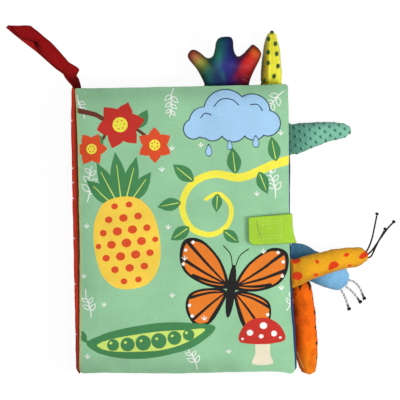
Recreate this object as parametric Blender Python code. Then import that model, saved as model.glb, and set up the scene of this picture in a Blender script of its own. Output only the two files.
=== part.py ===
"""Crinkle cloth book: five padded cloth leaves joined at a spine, six stuffed tails, a closing tab
and a ribbon loop.

The origin is the middle of the back cover's outer face. +X runs across the page away from the spine,
+Y towards the head of the page, and +Z out of the front cover. All lengths are in metres.
"""

import math

import bmesh
import bpy
from mathutils import Vector

# Leaves, counted from the back cover up
LEAF_NAMES = ("back_cover", "leaf_3", "leaf_2", "leaf_1", "front_cover")
COVER_WIDTH = 0.164
COVER_HEIGHT = 0.218
FORE_EDGE_OVERHANG = 0.004
LEAF_PITCH = 0.007
GAP = 0.0003
LEAF_RIM = 0.0012
DRAW_IN = 0.0008
CORNER_RADIUS = 0.004
SEAM_MARGIN = 0.007
CLOTH = 0.001
FILM_THICKNESS = 0.0004
CROWN_POWER = 4
SMOOTH_ANGLE = math.radians(50)
PLAIN_GRID_SHARES = (0.0, 0.7)
COVER_GRID_SHARES = (0.0, 0.25, 0.5, 0.7, 0.84)

# Spine cloth
SPINE_WALL = 0.0016
SPINE_BULGE = 0.002
SPINE_END_INSET = 0.001
SPINE_ARC_STEPS = 3

# Closing tab: sewn to the back cover's fore edge, turned over the front cover
TAB_WIDTH = 0.0225
TAB_THICKNESS = 0.0014
TAB_REACH = 0.0335
TAB_SIDE_SHIFT = -0.0015
TAB_FOOT_HEIGHT = 0.0012
TAB_END_RADIUS = 0.004
PATCH_LENGTH = 0.0205
PATCH_WIDTH = 0.015
PATCH_THICKNESS = 0.001
PATCH_FORE_EDGE_INSET = 0.0165
PATCH_GRID_SHARES = (0, 0.5, 1)

# Ribbon loop at the head of the spine; each station is along, aside, width
RIBBON_LENGTH = 0.0655
RIBBON_WIDTH = 0.0145
RIBBON_THICKNESS = 0.0009
RIBBON_OPENING = 0.0058
RIBBON_ROOT_INSET = 0.0028
RIBBON_ROOT_HEIGHT = 0.0027
RIBBON_DROP_SHARE = 0.42
RIBBON_SLANT_START_SHARE = 0.5
RIBBON_HEADING_DEG = 133.0
RIBBON_SLANT = 0.0065
RIBBON_STATION_SHARES = (
    (0.0, 0.0, 0.45),
    (0.14, 0.03, 0.5),
    (0.26, 0.17, 0.74),
    (0.42, 0.2, 0.84),
    (0.62, 0.14, 0.9),
    (0.82, 0.06, 0.96),
    (1.0, 0.0, 1.0),
)
RIBBON_TURN_SHARE = 0.26
RIBBON_SPREAD_SHARES = (0.0, 0.1, 0.5, 0.9, 1.0, 1.0, 0.86)

# Tails: the rounded hem at each root turns about the seam, so its radius is shared. Each station of a
# tail is a share of its length, of its lean sideways, of its root width, of its thickness, and of
# its droop
ROOT_HEM_RADIUS = 0.0012
HEM_TURN_SHARES = (0.15, 0.5, 1.0)
TAIL_SIDES = 12
TAIL_SQUARENESS = 2.3

# Spotted tail, on the front cover's fore edge
SPOTTED_ALONG_EDGE = -0.0362
SPOTTED_LENGTH = 0.0568
SPOTTED_WIDTH = 0.0225
SPOTTED_THICKNESS = 0.0132
SPOTTED_LEAN = 0.0127
SPOTTED_DROOP = 0.0058
SPOTTED_SHARES = (
    (0.08, 0.06, 0.93, 0.40, 0.02),
    (0.20, 0.26, 0.86, 0.76, 0.06),
    (0.36, 0.50, 0.80, 0.94, 0.16),
    (0.58, 0.76, 0.72, 1.00, 0.36),
    (0.78, 0.92, 0.66, 0.96, 0.62),
    (0.92, 0.99, 0.60, 0.84, 0.86),
    (0.97, 1.00, 0.46, 0.62, 0.95),
    (1.00, 1.00, 0.26, 0.34, 1.00),
)

# Blue tail, on leaf 2's fore edge
BLUE_ALONG_EDGE = -0.0246
BLUE_LENGTH = 0.0372
BLUE_WIDTH = 0.0200
BLUE_THICKNESS = 0.0118
BLUE_LEAN = -0.0174
BLUE_DROOP = 0.0096
BLUE_SHARES = (
    (0.12, 0.06, 0.98, 0.44, 0.06),
    (0.26, 0.22, 0.98, 0.84, 0.20),
    (0.45, 0.45, 0.98, 1.00, 0.44),
    (0.66, 0.70, 0.97, 1.00, 0.70),
    (0.84, 0.88, 0.92, 0.94, 0.88),
    (0.94, 0.96, 0.76, 0.76, 0.96),
    (1.00, 1.00, 0.46, 0.42, 1.00),
)

# Dotted tail, on leaf 3's fore edge
DOTTED_ALONG_EDGE = 0.0667
DOTTED_LENGTH = 0.0420
DOTTED_WIDTH = 0.0240
DOTTED_THICKNESS = 0.0132
DOTTED_LEAN = 0.0058
DOTTED_DROOP = 0.0026
DOTTED_SHARES = (
    (0.10, 0.10, 0.94, 0.46, 0.05),
    (0.26, 0.36, 0.82, 0.82, 0.24),
    (0.45, 0.60, 0.72, 1.00, 0.50),
    (0.65, 0.80, 0.60, 0.94, 0.74),
    (0.82, 0.92, 0.48, 0.80, 0.90),
    (0.93, 0.98, 0.36, 0.58, 0.97),
    (1.00, 1.00, 0.18, 0.28, 1.00),
)

# Speckled tail, at the head of leaf 2
SPECKLED_ALONG_EDGE = 0.0692
SPECKLED_LENGTH = 0.0402
SPECKLED_WIDTH = 0.0154
SPECKLED_THICKNESS = 0.0142
SPECKLED_LEAN = -0.0008
SPECKLED_DROOP = 0.0070
SPECKLED_SHARES = (
    (0.10, 0.00, 0.98, 0.48, 0.02),
    (0.26, 0.10, 0.92, 0.88, 0.12),
    (0.46, 0.30, 0.84, 1.00, 0.32),
    (0.66, 0.50, 0.73, 0.90, 0.58),
    (0.84, 0.70, 0.60, 0.76, 0.82),
    (0.95, 0.90, 0.44, 0.56, 0.94),
    (1.00, 1.00, 0.24, 0.30, 1.00),
)

# Rainbow tail, at the head of leaf 1
RAINBOW_ALONG_EDGE = 0.0350
RAINBOW_LENGTH = 0.0368
RAINBOW_WIDTH = 0.0335
RAINBOW_THICKNESS = 0.0140
RAINBOW_LEAN = 0.0008
RAINBOW_DROOP = 0.0110
RAINBOW_SHARES = (
    (0.12, 0.00, 0.99, 0.50, 0.02),
    (0.28, 0.10, 0.94, 0.90, 0.14),
    (0.44, 0.30, 0.78, 1.00, 0.34),
    (0.60, 0.50, 0.54, 0.96, 0.56),
    (0.76, 0.70, 0.46, 0.88, 0.76),
    (0.90, 0.85, 0.45, 0.78, 0.92),
    (0.97, 0.95, 0.38, 0.56, 0.98),
    (1.00, 1.00, 0.24, 0.30, 1.00),
)

# Side lobes of the rainbow tail, from its middle outwards; each station is along, width, thickness
LOBE_LENGTH = 0.0255
LOBE_WIDTH = 0.0126
LOBE_SHARES = (
    (0.0, 0.70, 0.55),
    (0.3, 0.94, 0.86),
    (0.55, 1.00, 0.90),
    (0.78, 1.00, 0.84),
    (0.92, 0.80, 0.62),
    (1.0, 0.42, 0.30),
)
LOBE_START_SHARE = 0.22
LOBE_SIDE_SHARE = 0.16
LEFT_LOBE_HEADING_DEG = 138.0
RIGHT_LOBE_HEADING_DEG = 46.0

# Striped tail: turned down along the fore edge, with a round end that turns in place
STRIPED_WIDTH = 0.0138
STRIPED_THICKNESS = 0.0096
STRIPED_LENGTH = 0.0715
STRIPED_TOP = -0.0412
STRIPED_SHARES = (
    (0.0, 0.0, 0.30, 0.34),
    (0.035, 0.0, 0.72, 0.60),
    (0.097, 0.0, 1.00, 0.86),
    (0.25, 0.04, 1.00, 1.00),
    (0.5, 0.10, 1.03, 1.00),
    (0.75, 0.14, 1.02, 1.00),
    (0.9, 0.14, 0.90, 0.92),
    (0.965, 0.12, 0.66, 0.68),
    (1.0, 0.10, 0.34, 0.34),
)

# Strings of the spotted tail and strands of the blue tail
STRING_DIAMETER = 0.0013
STRING_KNOT_RADIUS = 0.0011
STRAND_DIAMETER = 0.0016
STRAND_KNOT_RADIUS = 0.0013
CORD_STEP_DIAMETERS = 2.4
ROUTE_DIVISIONS = 24
KNOT_SEGMENTS = 10
KNOT_RINGS = 6
KNOT_LENGTH_SHARE = 1.25

# Routes of the strings and strands from the tail outwards, in world coordinates
STRING_ROUTES = (
    (
        (0.1389, -0.0202, 0.0262),
        (0.1409, -0.0166, 0.0262),
        (0.1436, -0.0102, 0.0210),
        (0.1457, -0.0040, 0.0100),
        (0.1472, 0.0014, 0.0028),
        (0.1484, 0.0069, 0.0016),
    ),
    (
        (0.1396, -0.0226, 0.0262),
        (0.1430, -0.0196, 0.0266),
        (0.1480, -0.0132, 0.0226),
        (0.1532, -0.0070, 0.0120),
        (0.1572, -0.0026, 0.0034),
        (0.1608, 0.0009, 0.0016),
    ),
    (
        (0.1395, -0.0253, 0.0250),
        (0.1424, -0.0240, 0.0240),
        (0.1457, -0.0186, 0.0170),
        (0.1492, -0.0128, 0.0070),
        (0.1516, -0.0090, 0.0022),
        (0.1541, -0.0048, 0.0016),
    ),
)
STRAND_ROUTES = (
    (
        (0.11867, -0.04857, 0.00854),
        (0.1210, -0.0522, 0.0078),
        (0.1232, -0.0569, 0.0032),
        (0.1252, -0.0634, 0.0019),
    ),
    (
        (0.12194, -0.04642, 0.00881),
        (0.1262, -0.0494, 0.0078),
        (0.1300, -0.0533, 0.0032),
        (0.1336, -0.0584, 0.0019),
    ),
    (
        (0.12359, -0.04154, 0.00886),
        (0.1300, -0.0440, 0.0078),
        (0.1343, -0.0490, 0.0032),
        (0.1370, -0.0556, 0.0019),
    ),
)

# Colours as linear red, green, blue
MINT = (0.27, 0.56, 0.39)
SKY = (0.22, 0.45, 0.80)
DEEP_BLUE = (0.05, 0.10, 0.40)
RED = (0.48, 0.03, 0.03)
LIME = (0.36, 0.68, 0.05)
ORANGE = (0.90, 0.24, 0.02)
YELLOW = (0.90, 0.72, 0.05)
AMBER = (0.88, 0.46, 0.03)
LEAF_GREEN = (0.05, 0.36, 0.22)
VIOLET = (0.10, 0.06, 0.30)
CREAM = (0.80, 0.74, 0.58)
WHITE = (0.80, 0.80, 0.80)
SILVER = (0.60, 0.62, 0.66)
CHARCOAL = (0.02, 0.02, 0.02)
LEAF_COLOURS = (MINT, CREAM, SKY, DEEP_BLUE, MINT)


def clear_scene():
    for existing in list(bpy.data.objects):
        bpy.data.objects.remove(existing, do_unlink=True)


def material(name, colour, roughness=0.85):
    made = bpy.data.materials.new(name)
    made.use_nodes = True
    shader = made.node_tree.nodes["Principled BSDF"]
    shader.inputs["Base Color"].default_value = (*colour, 1.0)
    shader.inputs["Roughness"].default_value = roughness
    shader.inputs["Metallic"].default_value = 0.0
    return made


def pivot(name, place):
    """An empty on a joint's axis, which carries every piece of that body."""
    empty = bpy.data.objects.new(name, None)
    empty.location = place
    bpy.context.scene.collection.objects.link(empty)
    return empty


def add_object(name, data, body, colour, roughness=0.85):
    """Places an object whose points are in world coordinates under its body's empty."""
    made = bpy.data.objects.new(name, data)
    bpy.context.scene.collection.objects.link(made)
    made.parent = body
    made.location = -body.location
    data.materials.append(material(name + "_finish", colour, roughness))
    return made


def add_mesh(name, bm, body, colour, roughness=0.85):
    bmesh.ops.recalc_face_normals(bm, faces=bm.faces)
    mesh = bpy.data.meshes.new(name)
    bm.to_mesh(mesh)
    bm.free()
    mesh.shade_smooth()
    mesh.set_sharp_from_angle(angle=SMOOTH_ANGLE)
    return add_object(name, mesh, body, colour, roughness)


class Leaf:
    """Size and place of one padded leaf of the stack."""

    def __init__(self, index):
        self.name = LEAF_NAMES[index]
        self.index = index
        self.low = index * LEAF_PITCH
        self.high = self.low + LEAF_PITCH - GAP
        self.seam = (self.low + self.high) / 2
        self.crown = self.high - self.seam - GAP / 2 - LEAF_RIM
        self.left = -COVER_WIDTH / 2
        self.width = COVER_WIDTH
        if self.name != "front_cover":
            self.width += FORE_EDGE_OVERHANG
        self.half_width = self.width / 2
        self.half_height = COVER_HEIGHT / 2
        self.middle = self.left + self.half_width

    def lines(self, half, shares, edge_inset):
        """Grid lines across half a leaf, mirrored: shares of the pad, its margin, and the rounded corner."""
        pad = 1 - (SEAM_MARGIN + edge_inset) / half
        positive = [share * pad for share in shares] + [pad]
        if not edge_inset:
            positive += [1 - CORNER_RADIUS / half, 1]
        return [-value for value in reversed(positive[1:])] + positive

    def place(self, u, v):
        """The point of the page at u across and v up, each from -1 to 1, its sides drawn in a little."""
        x = self.middle + self.half_width * u - DRAW_IN * max(u, 0) * (1 - v * v)
        y = self.half_height * v - DRAW_IN * v * (1 - u * u)
        if u == 1 and abs(v) == 1:
            cut = CORNER_RADIUS * (1 - math.cos(math.pi / 4))
            x -= cut
            y -= math.copysign(cut, v)
        return x, y

    def rise(self, u, v):
        """How far the padded surface stands off the seam plane."""
        crown_share = (1 - u**CROWN_POWER) * (1 - v**CROWN_POWER)
        return GAP / 2 + LEAF_RIM + self.crown * crown_share

    def top_at(self, x, y):
        u = (x - self.middle) / self.half_width
        v = y / self.half_height
        return self.seam + self.rise(u, v)

    def fore_edge(self, y):
        v = y / self.half_height
        return self.middle + self.half_width - DRAW_IN * (1 - v * v)

    def head_edge(self, x):
        u = (x - self.middle) / self.half_width
        return self.half_height - DRAW_IN * (1 - u * u)


LEAVES = [Leaf(index) for index in range(len(LEAF_NAMES))]
BACK_COVER, LEAF_3, LEAF_2, LEAF_1, FRONT_COVER = LEAVES
BOOK_HEIGHT = FRONT_COVER.high


def slab(us, vs, place, outer, inner):
    """A closed body between two height fields over one grid; returns it with its inner faces by cell."""
    bm = bmesh.new()
    rows = {}
    for layer, height in (("outer", outer), ("inner", inner)):
        for i, u in enumerate(us):
            for j, v in enumerate(vs):
                x, y = place(u, v)
                rows[layer, i, j] = bm.verts.new((x, y, height(u, v)))
    inner_faces = {}
    for i in range(len(us) - 1):
        for j in range(len(vs) - 1):
            ring = ((i, j), (i + 1, j), (i + 1, j + 1), (i, j + 1))
            bm.faces.new([rows["outer", a, b] for a, b in ring])
            inner_faces[i, j] = bm.faces.new([rows["inner", a, b] for a, b in reversed(ring)])
    last_i, last_j = len(us) - 1, len(vs) - 1
    border = [(i, 0) for i in range(last_i)] + [(last_i, j) for j in range(last_j)]
    border += [(i, last_j) for i in range(last_i, 0, -1)] + [(0, j) for j in range(last_j, 0, -1)]
    for a, b in zip(border, border[1:] + border[:1]):
        bm.faces.new((rows["outer", *a], rows["inner", *a], rows["inner", *b], rows["outer", *b]))
    return bm, inner_faces


def sink_pocket(bm, faces, depth_at):
    """Pushes a field of inner faces into the body, as the space that holds an insert."""
    pushed = bmesh.ops.extrude_face_region(bm, geom=faces)["geom"]
    bmesh.ops.delete(bm, geom=faces, context="FACES_ONLY")
    for vert in pushed:
        if isinstance(vert, bmesh.types.BMVert):
            vert.co.z = depth_at(vert.co.x, vert.co.y)


def pocket_cells(us, vs, inner_faces):
    """The cells inside the seam margin: the outer two rows of cells on each side are left."""
    return [
        face
        for (i, j), face in inner_faces.items()
        if 2 <= i < len(us) - 3 and 2 <= j < len(vs) - 3
    ]


def leaf_panel(leaf, side, body, shares):
    """One cloth face of a leaf, crowned outside, with a pocket for the insert inside."""
    us = leaf.lines(leaf.half_width, shares, 0)
    vs = leaf.lines(leaf.half_height, shares, 0)
    flat = leaf is BACK_COVER and side < 0

    def outer(u, v):
        return leaf.low if flat else leaf.seam + side * leaf.rise(u, v)

    def inner(u, v):
        return leaf.seam + side * GAP / 2

    def pocket(x, y):
        if side > 0:
            return leaf.top_at(x, y) - CLOTH
        return leaf.seam - GAP / 2 - FILM_THICKNESS - GAP

    bm, inner_faces = slab(us, vs, leaf.place, outer, inner)
    sink_pocket(bm, pocket_cells(us, vs, inner_faces), pocket)
    face = "front" if side > 0 else "back"
    add_mesh(f"{leaf.name}_{face}_panel", bm, body, LEAF_COLOURS[leaf.index])


def leaf_film(leaf, body):
    """The thin crinkle film, flush with the back panel's inner face."""
    us = leaf.lines(leaf.half_width, PLAIN_GRID_SHARES[:1], GAP)
    vs = leaf.lines(leaf.half_height, PLAIN_GRID_SHARES[:1], GAP)
    top = leaf.seam - GAP / 2
    bm, _ = slab(us, vs, leaf.place, lambda u, v: top, lambda u, v: top - FILM_THICKNESS)
    add_mesh(f"{leaf.name}_crinkle_film", bm, body, SILVER, 0.25)


def leaf_wadding(leaf, body, shares):
    """The pad under the front panel, which gives the leaf its crown."""
    us = leaf.lines(leaf.half_width, shares, GAP)
    vs = leaf.lines(leaf.half_height, shares, GAP)

    def outer(u, v):
        return leaf.seam + leaf.rise(u, v) - CLOTH - GAP

    bm, _ = slab(us, vs, leaf.place, outer, lambda u, v: leaf.seam + GAP / 2)
    add_mesh(f"{leaf.name}_wadding", bm, body, WHITE)


def spine_outside(z):
    """X of the spine's outer surface, which bulges between the two covers."""
    offset_share = 2 * z / BOOK_HEIGHT - 1
    inside = BACK_COVER.left - GAP
    return inside - SPINE_WALL - SPINE_BULGE * (1 - offset_share * offset_share)


def leaf_spine(leaf, body):
    """The stretch of red spine cloth that belongs to one leaf and turns with it."""
    low = leaf.low + (GAP / 2 if leaf.index else 0)
    high = leaf.low + LEAF_PITCH - GAP / 2
    if leaf is FRONT_COVER:
        high = leaf.high
    inside = leaf.left - GAP
    section = [(inside, high)]
    for step in range(SPINE_ARC_STEPS + 1):
        z = high + (low - high) * step / SPINE_ARC_STEPS
        section.append((spine_outside(z), z))
    section.append((inside, low))
    half = leaf.half_height - SPINE_END_INSET
    bm = bmesh.new()
    face = bm.faces.new([bm.verts.new((x, -half, z)) for x, z in section])
    swept = bmesh.ops.extrude_face_region(bm, geom=[face])["geom"]
    moved = [item for item in swept if isinstance(item, bmesh.types.BMVert)]
    bmesh.ops.translate(bm, verts=moved, vec=(0, 2 * half, 0))
    add_mesh(f"{leaf.name}_spine", bm, body, RED)


def strip(path, half_width, middle_y):
    """A flat strap of the tab's thickness along a path of X, Z points, with its cut end rounded."""
    bm = bmesh.new()
    half = TAB_THICKNESS / 2
    rings = []
    for index, (x, z) in enumerate(path):
        before = Vector(path[max(index - 1, 0)])
        after = Vector(path[min(index + 1, len(path) - 1)])
        along = (after - before).normalized()
        across = Vector((-along.y, along.x)) * half
        ring = []
        for sign_y, sign_t in ((-1, -1), (1, -1), (1, 1), (-1, 1)):
            y = middle_y + sign_y * half_width[index]
            ring.append(bm.verts.new((x + sign_t * across.x, y, z + sign_t * across.y)))
        rings.append(ring)
    for lower, upper in zip(rings, rings[1:]):
        for k in range(4):
            bm.faces.new((lower[k], lower[(k + 1) % 4], upper[(k + 1) % 4], upper[k]))
    bm.faces.new(rings[0])
    bm.faces.new(rings[-1])
    return bm


def tab_line_x():
    return BACK_COVER.fore_edge(TAB_SIDE_SHIFT) + GAP + TAB_THICKNESS / 2


def tab_seat_height(x):
    """Height of the tab's underside above the cover: two patches with their gaps lie between."""
    stack = 2 * PATCH_THICKNESS + 3 * GAP
    return FRONT_COVER.top_at(x, TAB_SIDE_SHIFT) + stack


def tab_fold_height():
    """Height of the middle of the tab's cloth where it turns over the fore edge."""
    return tab_seat_height(FRONT_COVER.fore_edge(0) - SEAM_MARGIN) + TAB_THICKNESS / 2


def tab_riser(body):
    """The stretch of the tab that stands up the fore edge from the back cover."""
    x = tab_line_x()
    top = tab_fold_height() - TAB_THICKNESS / 2 - GAP
    path = [(x, TAB_FOOT_HEIGHT), (x, BOOK_HEIGHT / 2), (x, top)]
    bm = strip(path, [TAB_WIDTH / 2] * len(path), TAB_SIDE_SHIFT)
    add_mesh("closure_tab_riser", bm, body, LIME)


def tab_flap(body):
    """The stretch of the tab that lies over the front cover."""
    start = tab_line_x() + TAB_THICKNESS / 2
    edge = FRONT_COVER.fore_edge(0)
    end = edge - TAB_REACH
    xs = [start, edge - SEAM_MARGIN, edge - TAB_REACH / 2, end + TAB_END_RADIUS]
    xs += [end + TAB_END_RADIUS * (1 - math.cos(math.pi / 4)), end]
    fold = tab_fold_height()
    path = [(start, fold)]
    path += [(x, tab_seat_height(x) + TAB_THICKNESS / 2) for x in xs[1:]]
    half = TAB_WIDTH / 2
    corner = half - TAB_END_RADIUS
    widths = [half, half, half, half, corner + TAB_END_RADIUS * math.sin(math.pi / 4), corner]
    add_mesh("closure_tab_flap", strip(path, widths, TAB_SIDE_SHIFT), body, LIME)


def patch(name, body, level, colour):
    """A hook or loop patch under the tab, which follows the cover's crown."""
    high_x = FRONT_COVER.fore_edge(0) - PATCH_FORE_EDGE_INSET + PATCH_LENGTH / 2
    low_x = high_x - PATCH_LENGTH
    low_y = TAB_SIDE_SHIFT - PATCH_WIDTH / 2
    bottom = GAP + level * (PATCH_THICKNESS + GAP)

    def place(u, v):
        return low_x + PATCH_LENGTH * u, low_y + PATCH_WIDTH * v

    def top(u, v):
        return FRONT_COVER.top_at(place(u, v)[0], TAB_SIDE_SHIFT) + bottom + PATCH_THICKNESS

    def base(u, v):
        return top(u, v) - PATCH_THICKNESS

    bm, _ = slab(PATCH_GRID_SHARES, (0, 1), place, top, base)
    add_mesh(name, bm, body, colour, 0.95)


def smooth_between(stations, share):
    """Reads a table of stations at a share of the way, along straight runs between its rows."""
    for before, after in zip(stations, stations[1:]):
        if share <= after[0]:
            part = (share - before[0]) / (after[0] - before[0])
            return [a + (b - a) * part for a, b in zip(before, after)]
    return list(stations[-1])


def ribbon_loop(body, root):
    """A flat ribbon that runs out from the spine, turns back at its far end and returns above itself."""
    heading = math.radians(RIBBON_HEADING_DEG)
    along_axis = Vector((math.cos(heading), math.sin(heading), 0))
    aside_axis = Vector((math.sin(heading), -math.cos(heading), 0))
    half_thickness = RIBBON_THICKNESS / 2
    floor = GAP + half_thickness
    path = []
    for (share, aside, width), spread in zip(RIBBON_STATION_SHARES, RIBBON_SPREAD_SHARES):
        low = RIBBON_ROOT_HEIGHT + (floor - RIBBON_ROOT_HEIGHT) * min(share / RIBBON_DROP_SHARE, 1)
        opening = 2 * half_thickness + GAP + (RIBBON_OPENING - GAP) * spread
        path.append((share, aside, width, low, low + opening))
    lower = [(share, aside, width, low) for share, aside, width, low, high in path]
    upper = [(share, aside, width, high) for share, aside, width, low, high in reversed(path)]
    end_rise = (path[-1][4] - path[-1][3]) / 2
    turn = (1 + end_rise / RIBBON_LENGTH, 0.0, 1.0, path[-1][3] + end_rise)
    stations = lower + [turn] + upper
    centres = []
    for share, aside, width, z in stations:
        centre = root + along_axis * (share * RIBBON_LENGTH) + aside_axis * (aside * RIBBON_WIDTH)
        centres.append(Vector((centre.x, centre.y, z)))
    bm = bmesh.new()
    rings = []
    for index, (share, aside, width, z) in enumerate(stations):
        before = centres[max(index - 1, 0)]
        after = centres[min(index + 1, len(centres) - 1)]
        turned_share = min(share / RIBBON_TURN_SHARE, 1)
        aside_here = Vector((1, 0, 0)).lerp(aside_axis, turned_share).normalized()
        normal = (after - before).cross(aside_here).normalized() * half_thickness
        slant_share = max(share - RIBBON_SLANT_START_SHARE, 0) / (1 - RIBBON_SLANT_START_SHARE)
        slant = along_axis * (RIBBON_SLANT * slant_share)
        reach = aside_here * (width * RIBBON_WIDTH / 2)
        left = centres[index] - reach + slant
        right = centres[index] + reach - slant
        corners = (left - normal, right - normal, right + normal, left + normal)
        rings.append([bm.verts.new(corner) for corner in corners])
    for first, second in zip(rings, rings[1:]):
        for k in range(4):
            bm.faces.new((first[k], first[(k + 1) % 4], second[(k + 1) % 4], second[k]))
    bm.faces.new(rings[0])
    bm.faces.new(rings[-1])
    add_mesh("ribbon_loop", bm, body, RED, 0.45)


class Tail:
    """A stuffed tail that swells from a flat sewn root and tapers to its tip."""

    def __init__(self, name, leaf, edge, along_edge, length, width, thickness, lean, droop, shares):
        self.name = name
        self.leaf = leaf
        self.length = length
        self.width = width
        self.thickness = thickness
        self.lean = lean
        self.droop = droop
        self.shares = shares
        reach = (along_edge - width / 2, along_edge + width / 2)
        if edge == "fore":
            self.out = Vector((1, 0, 0))
            self.side = Vector((0, 1, 0))
            line = max(leaf.fore_edge(y) for y in reach)
            self.root = Vector((line + GAP, along_edge, leaf.seam))
        else:
            self.out = Vector((0, 1, 0))
            self.side = Vector((-1, 0, 0))
            line = max(leaf.head_edge(x) for x in reach)
            self.root = Vector((along_edge, line + GAP, leaf.seam))

    def axis_place(self):
        """The seam that the tail turns about: the middle of its rounded hem."""
        return self.root + self.out * ROOT_HEM_RADIUS

    def centre(self, station):
        along, lean, _, _, droop = station
        place = self.root + self.out * (along * self.length)
        return place + self.side * (lean * self.lean) - Vector((0, 0, droop * self.droop))


def oval(half_width, half_height, count, squareness):
    """Points of a superellipse, with the first at the side."""
    points = []
    for k in range(count):
        turn = 2 * math.pi * k / count
        across = math.copysign(abs(math.cos(turn)) ** (2 / squareness), math.cos(turn))
        upward = math.copysign(abs(math.sin(turn)) ** (2 / squareness), math.sin(turn))
        points.append((across * half_width, upward * half_height))
    return points


def loft(sections):
    """A closed body through rings of equally many points."""
    bm = bmesh.new()
    rings = [[bm.verts.new(point) for point in section] for section in sections]
    for first, second in zip(rings, rings[1:]):
        for k in range(len(first)):
            after = (k + 1) % len(first)
            bm.faces.new((first[k], first[after], second[after], second[k]))
    bm.faces.new(rings[0])
    bm.faces.new(rings[-1])
    return bm


def hem_stations():
    """Rings of the rounded hem, as shares of its radius: distance from the end and half thickness."""
    turns = [share * math.pi / 2 for share in HEM_TURN_SHARES]
    return [(1 - math.cos(turn), math.sin(turn)) for turn in turns]


def tail_sections(tail):
    """Rings of a tail: the rounded hem first, then its stations square to the way it runs."""
    sections = []
    for along, thick in hem_stations():
        centre = tail.root + tail.out * (along * ROOT_HEM_RADIUS)
        half_width = tail.width / 2 - ROOT_HEM_RADIUS * (1 - thick)
        ring = oval(half_width, thick * ROOT_HEM_RADIUS, TAIL_SIDES, TAIL_SQUARENESS)
        sections.append([centre + tail.side * a + Vector((0, 0, b)) for a, b in ring])
    centres = [tail.centre(station) for station in tail.shares]
    for index, station in enumerate(tail.shares):
        before = centres[index - 1] if index else tail.root
        after = centres[min(index + 1, len(centres) - 1)]
        along = (after - before).normalized()
        across = Vector((0, 0, 1)).cross(along).normalized()
        upward = along.cross(across)
        half_width = station[2] * tail.width / 2
        half_height = station[3] * tail.thickness / 2
        ring = oval(half_width, half_height, TAIL_SIDES, TAIL_SQUARENESS)
        sections.append([centres[index] + across * a + upward * b for a, b in ring])
    return sections


SPOTTED_TAIL = Tail(
    "spotted_tail",
    FRONT_COVER,
    "fore",
    along_edge=SPOTTED_ALONG_EDGE,
    length=SPOTTED_LENGTH,
    width=SPOTTED_WIDTH,
    thickness=SPOTTED_THICKNESS,
    lean=SPOTTED_LEAN,
    droop=SPOTTED_DROOP,
    shares=SPOTTED_SHARES,
)
BLUE_TAIL = Tail(
    "blue_tail",
    LEAF_2,
    "fore",
    along_edge=BLUE_ALONG_EDGE,
    length=BLUE_LENGTH,
    width=BLUE_WIDTH,
    thickness=BLUE_THICKNESS,
    lean=BLUE_LEAN,
    droop=BLUE_DROOP,
    shares=BLUE_SHARES,
)
DOTTED_TAIL = Tail(
    "dotted_tail",
    LEAF_3,
    "fore",
    along_edge=DOTTED_ALONG_EDGE,
    length=DOTTED_LENGTH,
    width=DOTTED_WIDTH,
    thickness=DOTTED_THICKNESS,
    lean=DOTTED_LEAN,
    droop=DOTTED_DROOP,
    shares=DOTTED_SHARES,
)
SPECKLED_TAIL = Tail(
    "speckled_tail",
    LEAF_2,
    "head",
    along_edge=SPECKLED_ALONG_EDGE,
    length=SPECKLED_LENGTH,
    width=SPECKLED_WIDTH,
    thickness=SPECKLED_THICKNESS,
    lean=SPECKLED_LEAN,
    droop=SPECKLED_DROOP,
    shares=SPECKLED_SHARES,
)
RAINBOW_TAIL = Tail(
    "rainbow_tail",
    LEAF_1,
    "head",
    along_edge=RAINBOW_ALONG_EDGE,
    length=RAINBOW_LENGTH,
    width=RAINBOW_WIDTH,
    thickness=RAINBOW_THICKNESS,
    lean=RAINBOW_LEAN,
    droop=RAINBOW_DROOP,
    shares=RAINBOW_SHARES,
)

def tail_body(tail, colour, parent):
    body = pivot(tail.name + "_pivot", tail.axis_place())
    hang(body, parent)
    add_mesh(tail.name, loft(tail_sections(tail)), body, colour)
    return body


def hang(body, parent):
    """Parents a body's empty to the body that carries it, without moving it."""
    world = body.location.copy()
    body.parent = parent
    body.matrix_parent_inverse = parent.matrix_world.inverted()
    body.location = world


def lobe_sections(start, heading_deg, drop_at):
    heading = math.radians(heading_deg)
    along = Vector((math.cos(heading), math.sin(heading), 0))
    across = Vector((-along.y, along.x, 0))
    sections = []
    for share, wide, thick in LOBE_SHARES:
        centre = start + along * (share * LOBE_LENGTH)
        centre.z = drop_at(centre.y)
        ring = oval(
            wide * LOBE_WIDTH / 2, thick * RAINBOW_TAIL.thickness / 2, TAIL_SIDES, TAIL_SQUARENESS
        )
        sections.append([centre + across * a + Vector((0, 0, b)) for a, b in ring])
    return sections


def rainbow_tail(parent):
    """Three fanned lobes of one stuffed tail, joined into one body."""
    tail = RAINBOW_TAIL
    body = tail_body(tail, VIOLET, parent)
    whole = bpy.data.objects[tail.name]
    droops = [(0.0, 0.0)] + [(station[0], station[4]) for station in tail.shares]

    def drop_at(y):
        share = (y - tail.root.y) / tail.length
        return tail.root.z - tail.droop * smooth_between(droops, share)[1]

    for side, heading in ((-1, LEFT_LOBE_HEADING_DEG), (1, RIGHT_LOBE_HEADING_DEG)):
        start = tail.root + tail.out * (LOBE_START_SHARE * tail.length)
        start.x += side * LOBE_SIDE_SHARE * tail.width
        name = f"rainbow_lobe_guide_{'left' if side < 0 else 'right'}"
        guide = add_mesh(name, loft(lobe_sections(start, heading, drop_at)), body, VIOLET)
        guide.hide_render = True
        guide.display_type = "WIRE"
        union = whole.modifiers.new(name, "BOOLEAN")
        union.operation = "UNION"
        union.solver = "EXACT"
        union.object = guide
    return body


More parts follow.
